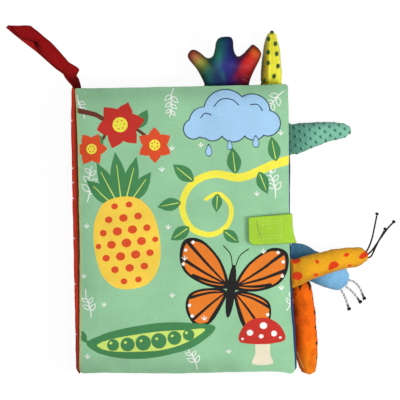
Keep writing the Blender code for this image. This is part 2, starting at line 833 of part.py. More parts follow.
def striped_tail(parent):
    radius = STRIPED_WIDTH / 2
    line = BACK_COVER.fore_edge(STRIPED_TOP - radius) + GAP
    centre_x = line + radius
    floor = GAP + STRIPED_THICKNESS / 2
    body = pivot("striped_tail_pivot", (centre_x, STRIPED_TOP - radius, floor))
    hang(body, parent)
    sections = []
    for along, lean, wide, thick in STRIPED_SHARES:
        centre = Vector((centre_x + lean * radius, STRIPED_TOP - along * STRIPED_LENGTH, floor))
        ring = oval(
            wide * radius, thick * STRIPED_THICKNESS / 2, TAIL_SIDES, TAIL_SQUARENESS
        )
        sections.append([centre + Vector((a, 0, b)) for a, b in ring])
    add_mesh("striped_tail", loft(sections), body, ORANGE)
    return body


def smooth_route(points, step):
    """Evenly spaced points on one smooth curve through a route's own points."""
    knots = [Vector(point) for point in points]
    before = [2 * knots[0] - knots[1]] + knots[:-1]
    after = knots[1:] + [2 * knots[-1] - knots[-2]]
    tangents = [(b - a) / 2 for a, b in zip(before, after)]
    fine = []
    for k in range(len(knots) - 1):
        for n in range(ROUTE_DIVISIONS):
            t = n / ROUTE_DIVISIONS
            fine.append(
                knots[k] * (2 * t**3 - 3 * t**2 + 1)
                + tangents[k] * (t**3 - 2 * t**2 + t)
                + knots[k + 1] * (3 * t**2 - 2 * t**3)
                + tangents[k + 1] * (t**3 - t**2)
            )
    fine.append(knots[-1])
    lengths = [0.0]
    for a, b in zip(fine, fine[1:]):
        lengths.append(lengths[-1] + (b - a).length)
    count = max(2, round(lengths[-1] / step))
    even = []
    at = 0
    for n in range(count + 1):
        wanted = lengths[-1] * n / count
        while at < len(fine) - 2 and lengths[at + 1] < wanted:
            at += 1
        part = (wanted - lengths[at]) / (lengths[at + 1] - lengths[at])
        even.append(fine[at].lerp(fine[at + 1], part))
    return even, lengths[-1]


def cord(name, knot_name, route, diameter, knot_radius, body, colour, knot_colour):
    """A short cord and the knot on its free end."""
    points, length = smooth_route(route, CORD_STEP_DIAMETERS * diameter)
    curve = bpy.data.curves.new(name, "CURVE")
    curve.dimensions = "3D"
    curve.bevel_depth = diameter / 2
    curve.bevel_resolution = 2
    curve.use_fill_caps = True
    spline = curve.splines.new("POLY")
    spline.points.add(len(points) - 1)
    for slot, point in zip(spline.points, points):
        slot.co = (*point, 1.0)
    add_object(name, curve, body, colour)
    heading = (points[-1] - points[-2]).normalized()
    half_length = knot_radius * KNOT_LENGTH_SHARE
    centre = points[-1] + heading * (half_length + GAP)
    bm = bmesh.new()
    bmesh.ops.create_uvsphere(
        bm, u_segments=KNOT_SEGMENTS, v_segments=KNOT_RINGS, radius=knot_radius
    )
    bmesh.ops.scale(bm, vec=(1, 1, KNOT_LENGTH_SHARE), verts=bm.verts)
    turn = Vector((0, 0, 1)).rotation_difference(heading).to_matrix()
    bmesh.ops.rotate(bm, cent=(0, 0, 0), matrix=turn, verts=bm.verts)
    bmesh.ops.translate(bm, vec=centre, verts=bm.verts)
    add_mesh(knot_name, bm, body, knot_colour)
    print(f"{name}: {length * 1000:.1f} mm")


def build_leaf(leaf, body):
    shares = COVER_GRID_SHARES if leaf is FRONT_COVER else PLAIN_GRID_SHARES
    leaf_panel(leaf, 1, body, shares)
    leaf_panel(leaf, -1, body, PLAIN_GRID_SHARES)
    leaf_film(leaf, body)
    leaf_wadding(leaf, body, shares)
    leaf_spine(leaf, body)


def build():
    clear_scene()
    bodies = {}
    below = pivot("back_cover_frame", (0, 0, 0))
    bodies[BACK_COVER.name] = below
    for leaf in LEAVES[1:]:
        body = pivot(leaf.name + "_hinge", (spine_outside(leaf.low), 0, leaf.low))
        bpy.context.view_layer.update()
        hang(body, below)
        bodies[leaf.name] = body
        below = body
    bpy.context.view_layer.update()
    for leaf in LEAVES:
        build_leaf(leaf, bodies[leaf.name])

    riser_body = pivot("closure_tab_hinge", (tab_line_x(), TAB_SIDE_SHIFT, TAB_FOOT_HEIGHT))
    flap_body = pivot("closure_tab_fold", (tab_line_x(), TAB_SIDE_SHIFT, tab_fold_height()))
    hang(riser_body, bodies["back_cover"])
    bpy.context.view_layer.update()
    hang(flap_body, riser_body)
    tab_riser(riser_body)
    tab_flap(flap_body)
    patch("closure_loop_patch", bodies["front_cover"], 0, LIME)
    patch("closure_hook_patch", flap_body, 1, LIME)

    root = Vector((BACK_COVER.left + RIBBON_ROOT_INSET, BACK_COVER.half_height + GAP, 0))
    root_top = RIBBON_ROOT_HEIGHT + 1.5 * RIBBON_THICKNESS + GAP
    ribbon_body = pivot("ribbon_loop_hinge", (root.x, root.y, root_top))
    hang(ribbon_body, bodies["back_cover"])
    ribbon_loop(ribbon_body, root)

    rainbow_tail(bodies["leaf_1"])
    tail_body(SPECKLED_TAIL, YELLOW, bodies["leaf_2"])
    tail_body(DOTTED_TAIL, LEAF_GREEN, bodies["leaf_3"])
    spotted_body = tail_body(SPOTTED_TAIL, AMBER, bodies["front_cover"])
    blue_body = tail_body(BLUE_TAIL, SKY, bodies["leaf_2"])
    striped_tail(bodies["back_cover"])
    for number, route in enumerate(STRING_ROUTES, start=1):
        names = (f"spotted_tail_string_{number}", f"spotted_tail_knot_{number}")
        cord(*names, route, STRING_DIAMETER, STRING_KNOT_RADIUS, spotted_body, CHARCOAL, CHARCOAL)
    for number, route in enumerate(STRAND_ROUTES, start=1):
        names = (f"blue_tail_strand_{number}", f"blue_tail_knot_{number}")
        cord(*names, route, STRAND_DIAMETER, STRAND_KNOT_RADIUS, blue_body, SILVER, CHARCOAL)


build()
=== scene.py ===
import math

import bmesh
import bpy
import numpy as np
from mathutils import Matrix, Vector, noise
from mathutils.geometry import delaunay_2d_cdt


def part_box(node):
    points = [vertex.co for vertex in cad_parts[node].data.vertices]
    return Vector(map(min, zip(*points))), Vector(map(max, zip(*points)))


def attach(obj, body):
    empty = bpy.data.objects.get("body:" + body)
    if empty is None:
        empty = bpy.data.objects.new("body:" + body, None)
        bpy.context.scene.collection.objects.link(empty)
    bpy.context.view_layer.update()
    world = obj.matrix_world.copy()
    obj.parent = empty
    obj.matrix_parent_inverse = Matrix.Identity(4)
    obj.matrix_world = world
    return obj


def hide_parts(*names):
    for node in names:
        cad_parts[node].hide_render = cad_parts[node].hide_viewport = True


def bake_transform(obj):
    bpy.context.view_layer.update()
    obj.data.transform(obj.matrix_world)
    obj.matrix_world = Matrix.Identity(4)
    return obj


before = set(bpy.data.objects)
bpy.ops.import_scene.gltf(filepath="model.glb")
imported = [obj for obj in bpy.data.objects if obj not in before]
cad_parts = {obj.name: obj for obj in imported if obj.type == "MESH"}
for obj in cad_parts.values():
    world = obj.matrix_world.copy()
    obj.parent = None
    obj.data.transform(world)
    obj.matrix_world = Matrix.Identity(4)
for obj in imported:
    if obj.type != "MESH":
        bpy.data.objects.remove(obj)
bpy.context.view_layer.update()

SCENE = bpy.context.scene
MM = 0.001

# The photograph: straight down, the book turned a little, and one scale at the cover's level
PHOTO_TURN = math.radians(1.17)
PHOTO_MIDDLE = (184.05, 228.6)
MM_PER_PIXEL = 0.761
IMAGE_PIXELS = 400
COVER_LEVEL = 33.5
LENS, SENSOR = 300.0, 36.0
CAMERA_HEIGHT = LENS / SENSOR * IMAGE_PIXELS * MM_PER_PIXEL


def at(px, py, level=COVER_LEVEL):
    """Book coordinates in mm of a pixel of the photograph, at a height in mm."""
    depth = 1 + (COVER_LEVEL - level) / CAMERA_HEIGHT
    middle = IMAGE_PIXELS / 2
    u = (middle + (px - middle) * depth - PHOTO_MIDDLE[0]) * MM_PER_PIXEL
    v = -(middle + (py - middle) * depth - PHOTO_MIDDLE[1]) * MM_PER_PIXEL
    cos, sin = math.cos(PHOTO_TURN), math.sin(PHOTO_TURN)
    return u * cos + v * sin, -u * sin + v * cos


# Colours, linear
MINT = (0.30, 0.58, 0.34)
PALE_BLUE = (0.37, 0.61, 0.86)
NAVY = (0.012, 0.03, 0.07)
YELLOW = (0.90, 0.82, 0.07)
GOLD = (0.93, 0.63, 0.07)
ORANGE = (0.78, 0.20, 0.02)
SPOT_RED = (0.72, 0.075, 0.02)
RED = (0.55, 0.03, 0.02)
DARK_GREEN = (0.06, 0.24, 0.085)
LIME_PRINT = (0.62, 0.80, 0.16)
BROWN = (0.15, 0.035, 0.02)
BLACK = (0.014, 0.013, 0.013)
WHITE = (0.86, 0.87, 0.84)
DEEP_BLUE = (0.03, 0.055, 0.17)
SKY = (0.16, 0.36, 0.68)
CREAM = (0.82, 0.74, 0.56)
RIBBON_RED = (0.29, 0.005, 0.006)
SPINE_RED = (0.55, 0.03, 0.012)
AMBER = (0.74, 0.35, 0.012)
TAIL_ORANGE = (0.95, 0.16, 0.006)
TAIL_YELLOW = (0.80, 0.78, 0.035)


# Numbers
def grain(x, y, z):
    """Smooth noise at a place, from -1 to 1."""
    return noise.noise(Vector((x, y, z)))


def bell(value, middle, width):
    return math.exp(-(((value - middle) / width) ** 2))


def mix(a, b, share):
    share = min(max(share, 0.0), 1.0)
    return tuple(p + (q - p) * share for p, q in zip(a, b))


def step(value, low, high):
    """Rises smoothly from 0 at low to 1 at high."""
    t = min(max((value - low) / (high - low), 0.0), 1.0)
    return t * t * (3 - 2 * t)


def between(grid, row, column):
    """The value at a place between the points of a grid."""
    i, j = min(int(row), len(grid) - 2), min(int(column), len(grid[0]) - 2)
    a, b = row - i, column - j
    return ((grid[i, j] * (1 - a) + grid[i + 1, j] * a) * (1 - b)
            + (grid[i, j + 1] * (1 - a) + grid[i + 1, j + 1] * a) * b)


def hermite(t, p, p_slope, q, q_slope):
    return ((2 * t**3 - 3 * t**2 + 1) * p + (t**3 - 2 * t**2 + t) * p_slope
            + (3 * t**2 - 2 * t**3) * q + (t**3 - t**2) * q_slope)


def pchip(xs, ys, at_x):
    """A smooth curve through a table that doesn't overshoot."""
    xs, ys = np.asarray(xs, float), np.asarray(ys, float)
    h = np.diff(xs)
    slope = np.diff(ys) / h
    m = np.zeros(len(xs))
    m[0], m[-1] = slope[0], slope[-1]
    for k in range(1, len(xs) - 1):
        if slope[k - 1] * slope[k] > 0:
            w1, w2 = 2 * h[k] + h[k - 1], h[k] + 2 * h[k - 1]
            m[k] = (w1 + w2) / (w1 / slope[k - 1] + w2 / slope[k])
    k = np.clip(np.searchsorted(xs, at_x) - 1, 0, len(xs) - 2)
    return hermite((at_x - xs[k]) / h[k], ys[k], h[k] * m[k], ys[k + 1], h[k] * m[k + 1])


def off_segment(x, y, ax, ay, bx, by):
    """Distance from the segment a to b, and how far along it the nearest point is, from 0 to 1."""
    t = min(max(((x - ax) * (bx - ax) + (y - ay) * (by - ay)) / ((bx - ax) ** 2 + (by - ay) ** 2), 0), 1)
    return math.hypot(x - ax - t * (bx - ax), y - ay - t * (by - ay)), t


def in_polygon(polygon, x, y):
    inside = False
    for (ax, ay), (bx, by) in zip(polygon, polygon[1:] + polygon[:1]):
        if (ay > y) != (by > y) and x < (bx - ax) * (y - ay) / (by - ay) + ax:
            inside = not inside
    return inside


def anticlockwise(loop):
    area = sum(ax * by - bx * ay for (ax, ay), (bx, by) in zip(loop, loop[1:] + loop[:1]))
    return loop if area >= 0 else loop[::-1]


def inset(loop, depth):
    """Points inside an anticlockwise loop, at a depth square to it."""
    points = []
    for k, (x, y) in enumerate(loop):
        (ax, ay), (bx, by) = loop[k - 1], loop[(k + 1) % len(loop)]
        size = math.hypot(bx - ax, by - ay)
        points.append(Vector((x - (by - ay) / size * depth, y + (bx - ax) / size * depth)))
    return points


# Materials
def put(tree, kind, inputs=None, **props):
    node = tree.nodes.new(kind)
    for key, value in props.items():
        setattr(node, key, value)
    for key, value in (inputs or {}).items():
        if isinstance(value, bpy.types.NodeSocket):
            tree.links.new(value, node.inputs[key])
        else:
            node.inputs[key].default_value = value
    return node


def maths(tree, operation, a, b=0.0):
    return put(tree, "ShaderNodeMath", {0: a, 1: b}, operation=operation).outputs[0]


def fabric(name, colour=None, rough=0.85, weave_mm=0.55, weave_um=60, mottle=0.07, sheen=0.25, nap=0.0,
           nap_mm=0.5, specular=0.3):
    """Woven or napped cloth: its colour is the piece's tint attribute, or one colour, and varies a little."""
    made = bpy.data.materials.new(name)
    made.use_nodes = True
    tree = made.node_tree
    shader = tree.nodes["Principled BSDF"]
    where = put(tree, "ShaderNodeTexCoord").outputs["Object"]

    def speckle(scale, detail):
        return put(tree, "ShaderNodeTexNoise",
                   {"Vector": where, "Scale": scale, "Detail": detail}).outputs["Fac"]

    def varied(value, low, high, depth):
        return put(tree, "ShaderNodeMapRange", {"Value": value, "From Min": low, "From Max": high,
                                                "To Min": 1 - depth, "To Max": 1 + depth}).outputs[0]

    def ripple(axis):
        slant = maths(tree, "ADD", axes.outputs[axis], axes.outputs[2])
        return maths(tree, "SINE", maths(tree, "MULTIPLY", slant, 2 * math.pi / (weave_mm * MM)))

    if colour is None:
        base = put(tree, "ShaderNodeAttribute", attribute_name="tint").outputs["Color"]
    else:
        base = put(tree, "ShaderNodeRGB").outputs[0]
        base.default_value = (*colour, 1)
    level = maths(tree, "MULTIPLY", varied(speckle(38.0, 3.0), 0.3, 0.7, mottle),
                  varied(speckle(900.0, 2.0), 0.25, 0.75, mottle * 0.8))
    scaled = put(tree, "ShaderNodeVectorMath", {0: base, "Scale": level}, operation="SCALE").outputs[0]
    tree.links.new(scaled, shader.inputs["Base Color"])
    for key, value in (("Roughness", rough), ("Specular IOR Level", specular), ("Sheen Weight", sheen),
                       ("Sheen Roughness", 0.5)):
        shader.inputs[key].default_value = value
    axes = put(tree, "ShaderNodeSeparateXYZ", {"Vector": where})
    height = maths(tree, "MULTIPLY", maths(tree, "MULTIPLY", ripple(0), ripple(1)), weave_um * 1e-6)
    if nap:
        height = maths(tree, "ADD", height,
                       maths(tree, "MULTIPLY", speckle(1 / (nap_mm * MM), 2.0), nap * MM))
    bump = put(tree, "ShaderNodeBump", {"Height": height, "Strength": 0.8, "Distance": 1.0})
    tree.links.new(bump.outputs[0], shader.inputs["Normal"])
    return made


# Meshes, built from points in mm
def mesh_from(name, points, faces, scale=MM, weld=False):
    mesh = bpy.data.meshes.new(name)
    mesh.from_pydata([tuple(c * scale for c in p) for p in points], [], faces)
    bm = bmesh.new()
    bm.from_mesh(mesh)
    if weld:
        bmesh.ops.remove_doubles(bm, verts=bm.verts, dist=1e-7)
    bmesh.ops.recalc_face_normals(bm, faces=bm.faces)
    bm.to_mesh(mesh)
    bm.free()
    return mesh


def slab(name, rows, cols, point_at, weld=False):
    """A closed sheet of two skins: point_at(skin, row, column), with -1 and 1 for the skins."""
    points = [point_at(skin, r, c) for skin in (-1, 1) for r in range(rows) for c in range(cols)]
    other, faces = rows * cols, []
    for a in range(other):
        r, c = divmod(a, cols)
        if r < rows - 1 and c < cols - 1:
            faces.append((a, a + 1, a + cols + 1, a + cols))
            faces.append((other + a, other + a + cols, other + a + cols + 1, other + a + 1))
        if r < rows - 1 and c in (0, cols - 1):
            faces.append((a, a + cols, other + a + cols, other + a))
        if c < cols - 1 and r in (0, rows - 1):
            faces.append((a, a + 1, other + a + 1, other + a))
    return mesh_from(name, points, faces, weld=weld)


def ring_faces(total, around):
    """Faces of a closed tube of rings of points."""
    faces = [(r * around + k, r * around + (k + 1) % around, (r + 1) * around + (k + 1) % around,
              (r + 1) * around + k)
             for r in range(total - 1) for k in range(around)]
    return faces + [tuple(range(around)), tuple((total - 1) * around + k for k in range(around))]


def link(mesh, material):
    made = bpy.data.objects.new(mesh.name, mesh)
    SCENE.collection.objects.link(made)
    mesh.materials.append(material)
    mesh.shade_smooth()
    return made


def fit(mesh, material, slot, body, *nodes):
    """Adds a piece that rides a body in place of its CAD nodes."""
    made = link(mesh, material)
    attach(made, body)
    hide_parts(*nodes)
    return made


def paint(mesh, colours):
    """Stores a colour for each point."""
    layer = mesh.attributes.new("tint", "FLOAT_COLOR", "POINT")
    layer.data.foreach_set("color", [value for colour in colours for value in (*colour, 1.0)])


def tint(mesh, colour_at):
    """Colours each point by its place: colour_at(x, y, z) in mm."""
    paint(mesh, [colour_at(*(c / MM for c in v.co)) for v in mesh.vertices])


def displace(mesh, amount):
    """Moves each point along its normal by amount(x, y, z, normal), all in mm."""
    moves = [(v.normal.copy(), amount(*(c / MM for c in v.co), v.normal)) for v in mesh.vertices]
    for v, (normal, size) in zip(mesh.vertices, moves):
        v.co += normal * (size * MM)
    mesh.update()


# Print shapes, in mm on a page
def moved(shape, x, y, turn=0.0, size=1.0):
    c, s = math.cos(math.radians(turn)) * size, math.sin(math.radians(turn)) * size
    return [(x + a * c - b * s, y + a * s + b * c) for a, b in shape]


def toward(x, y, length, heading):
    """The point at a length from (x, y) in a heading in degrees."""
    return x + length * math.cos(math.radians(heading)), y + length * math.sin(math.radians(heading))


def ellipse(x, y, rx, ry, turn=0.0, count=30):
    turns = [2 * math.pi * k / count for k in range(count)]
    return moved([(rx * math.cos(a), ry * math.sin(a)) for a in turns], x, y, turn)


def curve(points, each=8, closed=False):
    """A smooth curve through the points."""
    count = len(points)
    fine = []
    for k in range(count if closed else count - 1):
        p0 = points[(k - 1) % count] if closed or k else points[0]
        p1, p2 = points[k], points[(k + 1) % count]
        p3 = points[(k + 2) % count] if closed or k + 2 < count else points[-1]
        for n in range(each):
            t = n / each
            fine.append(tuple(
                0.5 * (2 * b + (c - a) * t + (2 * a - 5 * b + 4 * c - d) * t**2
                       + (3 * b - a - 3 * c + d) * t**3)
                for a, b, c, d in zip(p0, p1, p2, p3)))
    return fine if closed else fine + [tuple(points[-1])]


def stroke(points, width, end_width=None, each=8):
    """The outline of a brush stroke along a smooth open curve, with round ends."""
    line = curve(points, each)
    end_width = width if end_width is None else end_width
    left, right = [], []
    for k, (x, y) in enumerate(line):
        (ax, ay), (bx, by) = line[max(k - 1, 0)], line[min(k + 1, len(line) - 1)]
        size = math.hypot(bx - ax, by - ay)
        nx, ny = -(by - ay) / size, (bx - ax) / size
        half = (width + (end_width - width) * k / (len(line) - 1)) / 2
        left.append((x + nx * half, y + ny * half))
        right.append((x - nx * half, y - ny * half))
    ends = []
    for (x, y), (ox, oy), half in ((line[-1], left[-1], end_width / 2), (line[0], right[0], width / 2)):
        start = math.degrees(math.atan2(oy - y, ox - x))
        ends.append([toward(x, y, half, start - 36 * n) for n in range(1, 5)])
    return left + ends[0] + right[::-1] + ends[1]


def leaf_shape(x, y, length, width, turn):
    half = [(0, 0), (0.2, 0.36), (0.45, 0.5), (0.72, 0.36), (0.9, 0.14), (1.0, 0)]
    outline = half + [(a, -b) for a, b in half[-2:0:-1]]
    return moved(curve([(a * length, b * width) for a, b in outline], 4, closed=True), x, y, turn)


class Motif:
    """Coloured shapes that are drawn in a place, size and turn of their own."""

    def __init__(self, x, y, size, turn=0.0):
        self.place, self.size, self.turn = (x, y, turn, size), size, turn
        self.shapes = []

    def point(self, a, b):
        return moved([(a, b)], *self.place)[0]

    def fill(self, points, colour):
        self.shapes.append((moved(points, *self.place), colour))

    def line(self, points, colour, width, end_width=None):
        self.shapes.append((stroke(moved(points, *self.place), width, end_width), colour))

    def spot(self, a, b, radius, colour, count, flat=1.0, turn=0.0):
        radius *= self.size
        self.shapes.append((ellipse(*self.point(a, b), radius, radius * flat, turn, count), colour))

    def leaf(self, a, b, length, width, heading, colour):
        shape = leaf_shape(*self.point(a, b), length * self.size, width * self.size, heading + self.turn)
        self.shapes.append((shape, colour))


def tick(x, y):
    """Three short strokes that spread from one foot."""
    return [(stroke([(x, y), toward(x, y, 0.5 * long, heading), toward(x, y, long, heading)], 0.75,
                    each=2), WHITE)
            for heading, long in ((48, 2.72), (90, 3.2), (132, 2.72))]


def sprig(x, y, size, turn, ground, pairs=3):
    """A white line drawing of a stem with open leaves."""
    art = Motif(x, y, size, turn)
    art.line([(0, 0), (1.5, 9), (0.4, 19), (2.0, 27)], WHITE, 0.8)
    for k in range(pairs):
        for side in (-1, 1):
            root = art.point(1.2, 6 + 7.0 * k + (1.6 if side > 0 else 0))
            heading = turn + 90 + side * 48
            long, wide = (8.5 - 1.2 * k) * size, (4.6 - 0.6 * k) * size
            inner = leaf_shape(*toward(*root, 0.975, heading), long - 1.875, wide - 1.425, heading)
            art.shapes += [(leaf_shape(*root, long, wide, heading), WHITE), (inner, ground)]
    return art.shapes


def cloud(x, y, size, fill=PALE_BLUE, line=NAVY):
    puffs = ((-19, -3, 10.5), (-5, 5, 14.5), (13, 3.5, 12.5), (24, -4.5, 8.5), (-27, -7.5, 6.5),
             (0, -7.5, 9.0), (14, -7.5, 8.0), (-14, -8, 7.5))
    shapes = [(ellipse(x + a * size, y + b * size, r * size + rim, r * size + rim, count=44), colour)
              for rim, colour in ((0.8, line), (0.0, fill)) for a, b, r in puffs]
    arcs = ([(-13, 8), (-8, 13), (-1, 13), (4, 9)], [(12, 9), (17, 9), (20, 4)],
            [(-22, 0), (-19, 3), (-15, 2)])
    return shapes + [(stroke(moved(arc, x, y, 0, size), 0.8), line) for arc in arcs]


def drop(x, y, size):
    outline = curve([(0, 5), (2.1, 0.6), (1.7, -2.0), (0, -3.0), (-1.7, -2.0), (-2.1, 0.6)], 5, closed=True)
    return [(moved(outline, x, y, 0, size * 1.22), NAVY), (moved(outline, x, y, 0, size), PALE_BLUE)]


def pineapple(x, y, size, turn):
    art = Motif(x, y, size, turn)
    for a, b, long, wide, heading in ((-6, 27, 24, 10, 132), (6, 27, 24, 10, 48), (-3, 28, 30, 10, 111),
                                      (3, 28, 30, 10, 69), (0, 27, 34, 11, 90)):
        art.leaf(a, b, long, wide, heading, DARK_GREEN)
        vein = [(a, b), toward(a, b, 0.35 * long, heading), toward(a, b, 0.75 * long, heading)]
        art.line(vein, LIME_PRINT, 1.0, 0.5)
    art.fill(curve([(0, 31), (12, 28), (20, 17), (22.5, 0), (20, -17), (12, -28), (0, -31), (-12, -28),
                    (-20, -17), (-22.5, 0), (-20, 17), (-12, 28)], 6, closed=True), GOLD)
    for row in range(-3, 4):
        for col in range(-3, 4):
            a, b = 10.2 * col + (5.1 if row % 2 else 0), 8.4 * row
            reach = (a / 21.5) ** 2 + (b / 30) ** 2
            if reach <= 0.98:
                art.spot(a * (1 - 0.06 * reach), b, 3.3 * (1 - 0.42 * reach), SPOT_RED, 20, 0.9, turn)
    return art.shapes


def butterfly(x, y, size, turn):
    art = Motif(x, y, size, turn)
    upper = [(2, 3), (9, 17), (22, 28), (33, 27), (35, 16), (30, 6), (17, 0), (4, -1)]
    lower = [(3, -2), (16, -2), (26, -7), (27, -17), (20, -26), (11, -24), (5, -13)]
    veins = ((2, 1.1, 2.8, ((30, 25), (33, 15), (25, 5))), (-3, 1.0, 2.4, ((25, -9), (21, -22), (11, -22))))
    for side in (-1, 1):
        for outline, mx, my in ((upper, side * 20, 13), (lower, side * 15, -13)):
            wing = curve([(side * a, b) for a, b in outline], 6, closed=True)
            art.fill(wing, BLACK)
            art.fill([(mx + (a - mx) * 0.86, my + (b - my) * 0.86) for a, b in wing], ORANGE)
        for root, width, end_width, tips in veins:
            for a, b in tips:
                art.line([(side * 3, root), (side * a * 0.55, b * 0.52), (side * a, b)], BLACK, width,
                         end_width)
        for a, b in ((31.5, 20.5), (27.5, 26), (32, 11.5), (25, -14), (22.5, -20.5)):
            art.spot(side * a, b, 1.1, WHITE, 12)
        art.line([(side * 0.8, 13), (side * 3, 21), (side * 8, 26)], BLACK, 0.8)
    art.fill(ellipse(0, -2, 2.8, 17, 0, 28), BLACK)
    return art.shapes


def flower(x, y, size, colour, middle, turn=0.0):
    turns = [turn + 60 * k for k in range(6)]
    return ([(leaf_shape(x, y, 13 * size, 9.5 * size, heading), colour) for heading in turns]
            + [(ellipse(x, y, 4.0 * size, 4.0 * size, 0, 20), middle)]
            + [(ellipse(*toward(x, y, 2.2 * size, heading), 0.6, 0.6, 0, 8), SPOT_RED) for heading in turns])


def pod(x, y, size, turn):
    art = Motif(x, y, size, turn)
    art.fill(curve([(-50, 2), (-38, -8), (-16, -14), (10, -14), (34, -8), (50, 4), (34, 9), (10, 12),
                    (-16, 11), (-36, 8)], 7, closed=True), DARK_GREEN)
    art.fill(curve([(-42, 0), (-30, -6), (-10, -8.5), (10, -8.5), (28, -4.5), (42, 3.5), (26, 4.5), (8, 5.5),
                    (-12, 5), (-30, 3.5)], 7, closed=True), LIME_PRINT)
    for a, b, r in ((-29, -1.0, 4.6), (-18, -1.8, 5.4), (-6, -1.8, 5.9), (6, -1.5, 5.9), (18, -0.6, 5.3),
                    (29, 0.6, 4.4)):
        art.spot(a, b, r, DARK_GREEN, 24)
        px, py = art.point(a, b)
        gleam = ellipse(px - 1.6 * size, py + 1.6 * size, 1.2 * size, 1.0 * size, 30, 12)
        art.shapes.append((gleam, LIME_PRINT))
    art.line([(-48, 2), (-54, 7), (-60, 6)], DARK_GREEN, 2.2, 1.2)
    art.leaf(-50, 3, 12, 6, 115, DARK_GREEN)
    return art.shapes


def toadstool(x, y, size):
    art = Motif(x, y, size)
    art.fill(curve([(-5, -1), (-6, -12), (-8, -20), (8, -20), (6, -12), (5, -1)], 5, closed=True), CREAM)
    art.fill(curve([(-19, 0), (-16, 10), (-7, 17), (7, 17), (16, 10), (19, 0), (9, -3), (-9, -3)], 6,
                   closed=True), RED)
    for a, b, r in ((-10, 6, 2.6), (1, 11.5, 3.0), (10, 5, 2.6), (-1, 3.0, 1.9), (15, 1.5, 1.1),
                    (-16, 1.2, 1.1)):
        art.fill(ellipse(a, b, r, r * 0.9, 0, 18), WHITE)
    return art.shapes


def star(x, y, size, colour, turn):
    return [([toward(x, y, size * (0.45 if k % 2 else 1.0), 90 + 36 * k + turn) for k in range(10)], colour)]


def cover_print():
    """Fruit, flowers and a butterfly on mint, in the printed cover's colours and scale."""
    shapes = []
    for x, y, size, turn, pairs in ((-74, 22, 1.0, -4, 3), (71, 22, 0.95, 12, 3), (-6, 108, 0.85, 176, 3),
                                    (79, 104, 0.9, 140, 2), (-73, -66, 0.8, 14, 2), (8, -108, 0.8, 24, 2),
                                    (-80, 104, 0.7, 200, 2), (78, -64, 0.7, -20, 2)):
        shapes += sprig(x, y, size, turn, MINT, pairs)
    vine = [(86, 52), (66, 46), (44, 38), (24, 41), (7, 34), (-1, 18), (5, 1), (20, -5), (33, 2), (36, 16),
            (27, 26), (17, 22)]
    shapes.append((stroke(vine, 7.0, 2.6), YELLOW))
    for a, b, long, wide, heading in ((72, 50, 19, 10, 100), (58, 42, 18, 10, 290), (40, 41, 20, 11, 96),
                                      (8, 36, 20, 11, 140), (-2, 20, 18, 10, 190), (4, 1, 17, 10, 214),
                                      (30, -2, 15, 9, 320), (26, 26, 14, 8, 265)):
        vein = [toward(a, b, reach, heading) for reach in (2, 0.5 * long, 0.82 * long)]
        shapes += [(leaf_shape(a, b, long, wide, heading), DARK_GREEN), (stroke(vein, 0.8, 0.4), LIME_PRINT)]
    shapes.append((stroke([(-84, 93), (-66, 88), (-50, 79), (-36, 77), (-22, 66)], 4.2, 2.0), BROWN))
    shapes.append((stroke([(-56, 83), (-60, 70), (-70, 63)], 3.0, 1.6), BROWN))
    shapes += [(leaf_shape(-34, 77, 16, 9, 60), DARK_GREEN), (leaf_shape(-62, 72, 14, 8, 250), DARK_GREEN)]
    shapes += flower(-47, 80, 1.45, RED, YELLOW, 10) + flower(-21, 64, 1.05, SPOT_RED, YELLOW, 30)
    shapes += flower(-70, 62, 1.0, SPOT_RED, YELLOW) + cloud(39, 84, 1.12)
    shapes += drop(20, 58, 1.0) + drop(56, 64, 1.0) + drop(36, 62, 0.8)
    shapes += pineapple(-44, -10, 1.14, 6) + butterfly(35, -46, 1.2, -8) + pod(-27, -84, 1.0, 5)
    shapes += toadstool(58, -86, 0.95)
    for a, b in ((-8, 60), (14, 62), (-75, 2), (-10, -52), (60, -20), (0, -24), (-12, 0), (74, -48),
                 (32, -96), (-76, -98), (-16, 44), (76, 70), (56, 24), (-78, -36), (14, -70), (-62, -58)):
        shapes += tick(a, b)
    return shapes


# Cloth simulation
CLOTH_SCALE = 20.0  # the simulated copy is this much larger, where the cloth solver is steady
CLOTH_FRAMES = 20


def cloth_moves(points, faces, held, seam, pressure, shrink, cap):
    """Simulates how far each point moves, in mm, when cloth is sewn short along its seam and stuffed."""
    sewn = bpy.data.objects.new("sewing", mesh_from("sewing", points, faces, scale=MM * CLOTH_SCALE))
    SCENE.collection.objects.link(sewn)
    for name, members in (("held", held), ("seam", seam)):
        sewn.vertex_groups.new(name=name).add(list(members), 1.0, "REPLACE")
    cloth = sewn.modifiers.new("cloth", "CLOTH")
    for key, value in dict(
            quality=5, mass=0.3, tension_stiffness=18, compression_stiffness=18, shear_stiffness=6,
            bending_stiffness=0.12, air_damping=1.0, use_pressure=True, uniform_pressure_force=pressure,
            vertex_group_mass="held", vertex_group_shrink="seam", shrink_min=0.0, shrink_max=shrink).items():
        setattr(cloth.settings, key, value)
    cloth.settings.effector_weights.gravity = 0
    cloth.collision_settings.use_collision = False
    cloth.point_cache.frame_start, cloth.point_cache.frame_end = 1, CLOTH_FRAMES
    for number in range(1, CLOTH_FRAMES + 1):
        SCENE.frame_set(number)
    shaped = sewn.evaluated_get(bpy.context.evaluated_depsgraph_get()).to_mesh()
    after = np.empty(len(points) * 3)
    shaped.vertices.foreach_get("co", after)
    moves = after.reshape(-1, 3) / (MM * CLOTH_SCALE) - np.array([tuple(p) for p in points])
    bpy.data.objects.remove(sewn, do_unlink=True)
    SCENE.frame_set(1)
    far = np.linalg.norm(moves, axis=1)
    return moves * np.minimum(1.0, cap / np.maximum(far, 1e-9))[:, None]


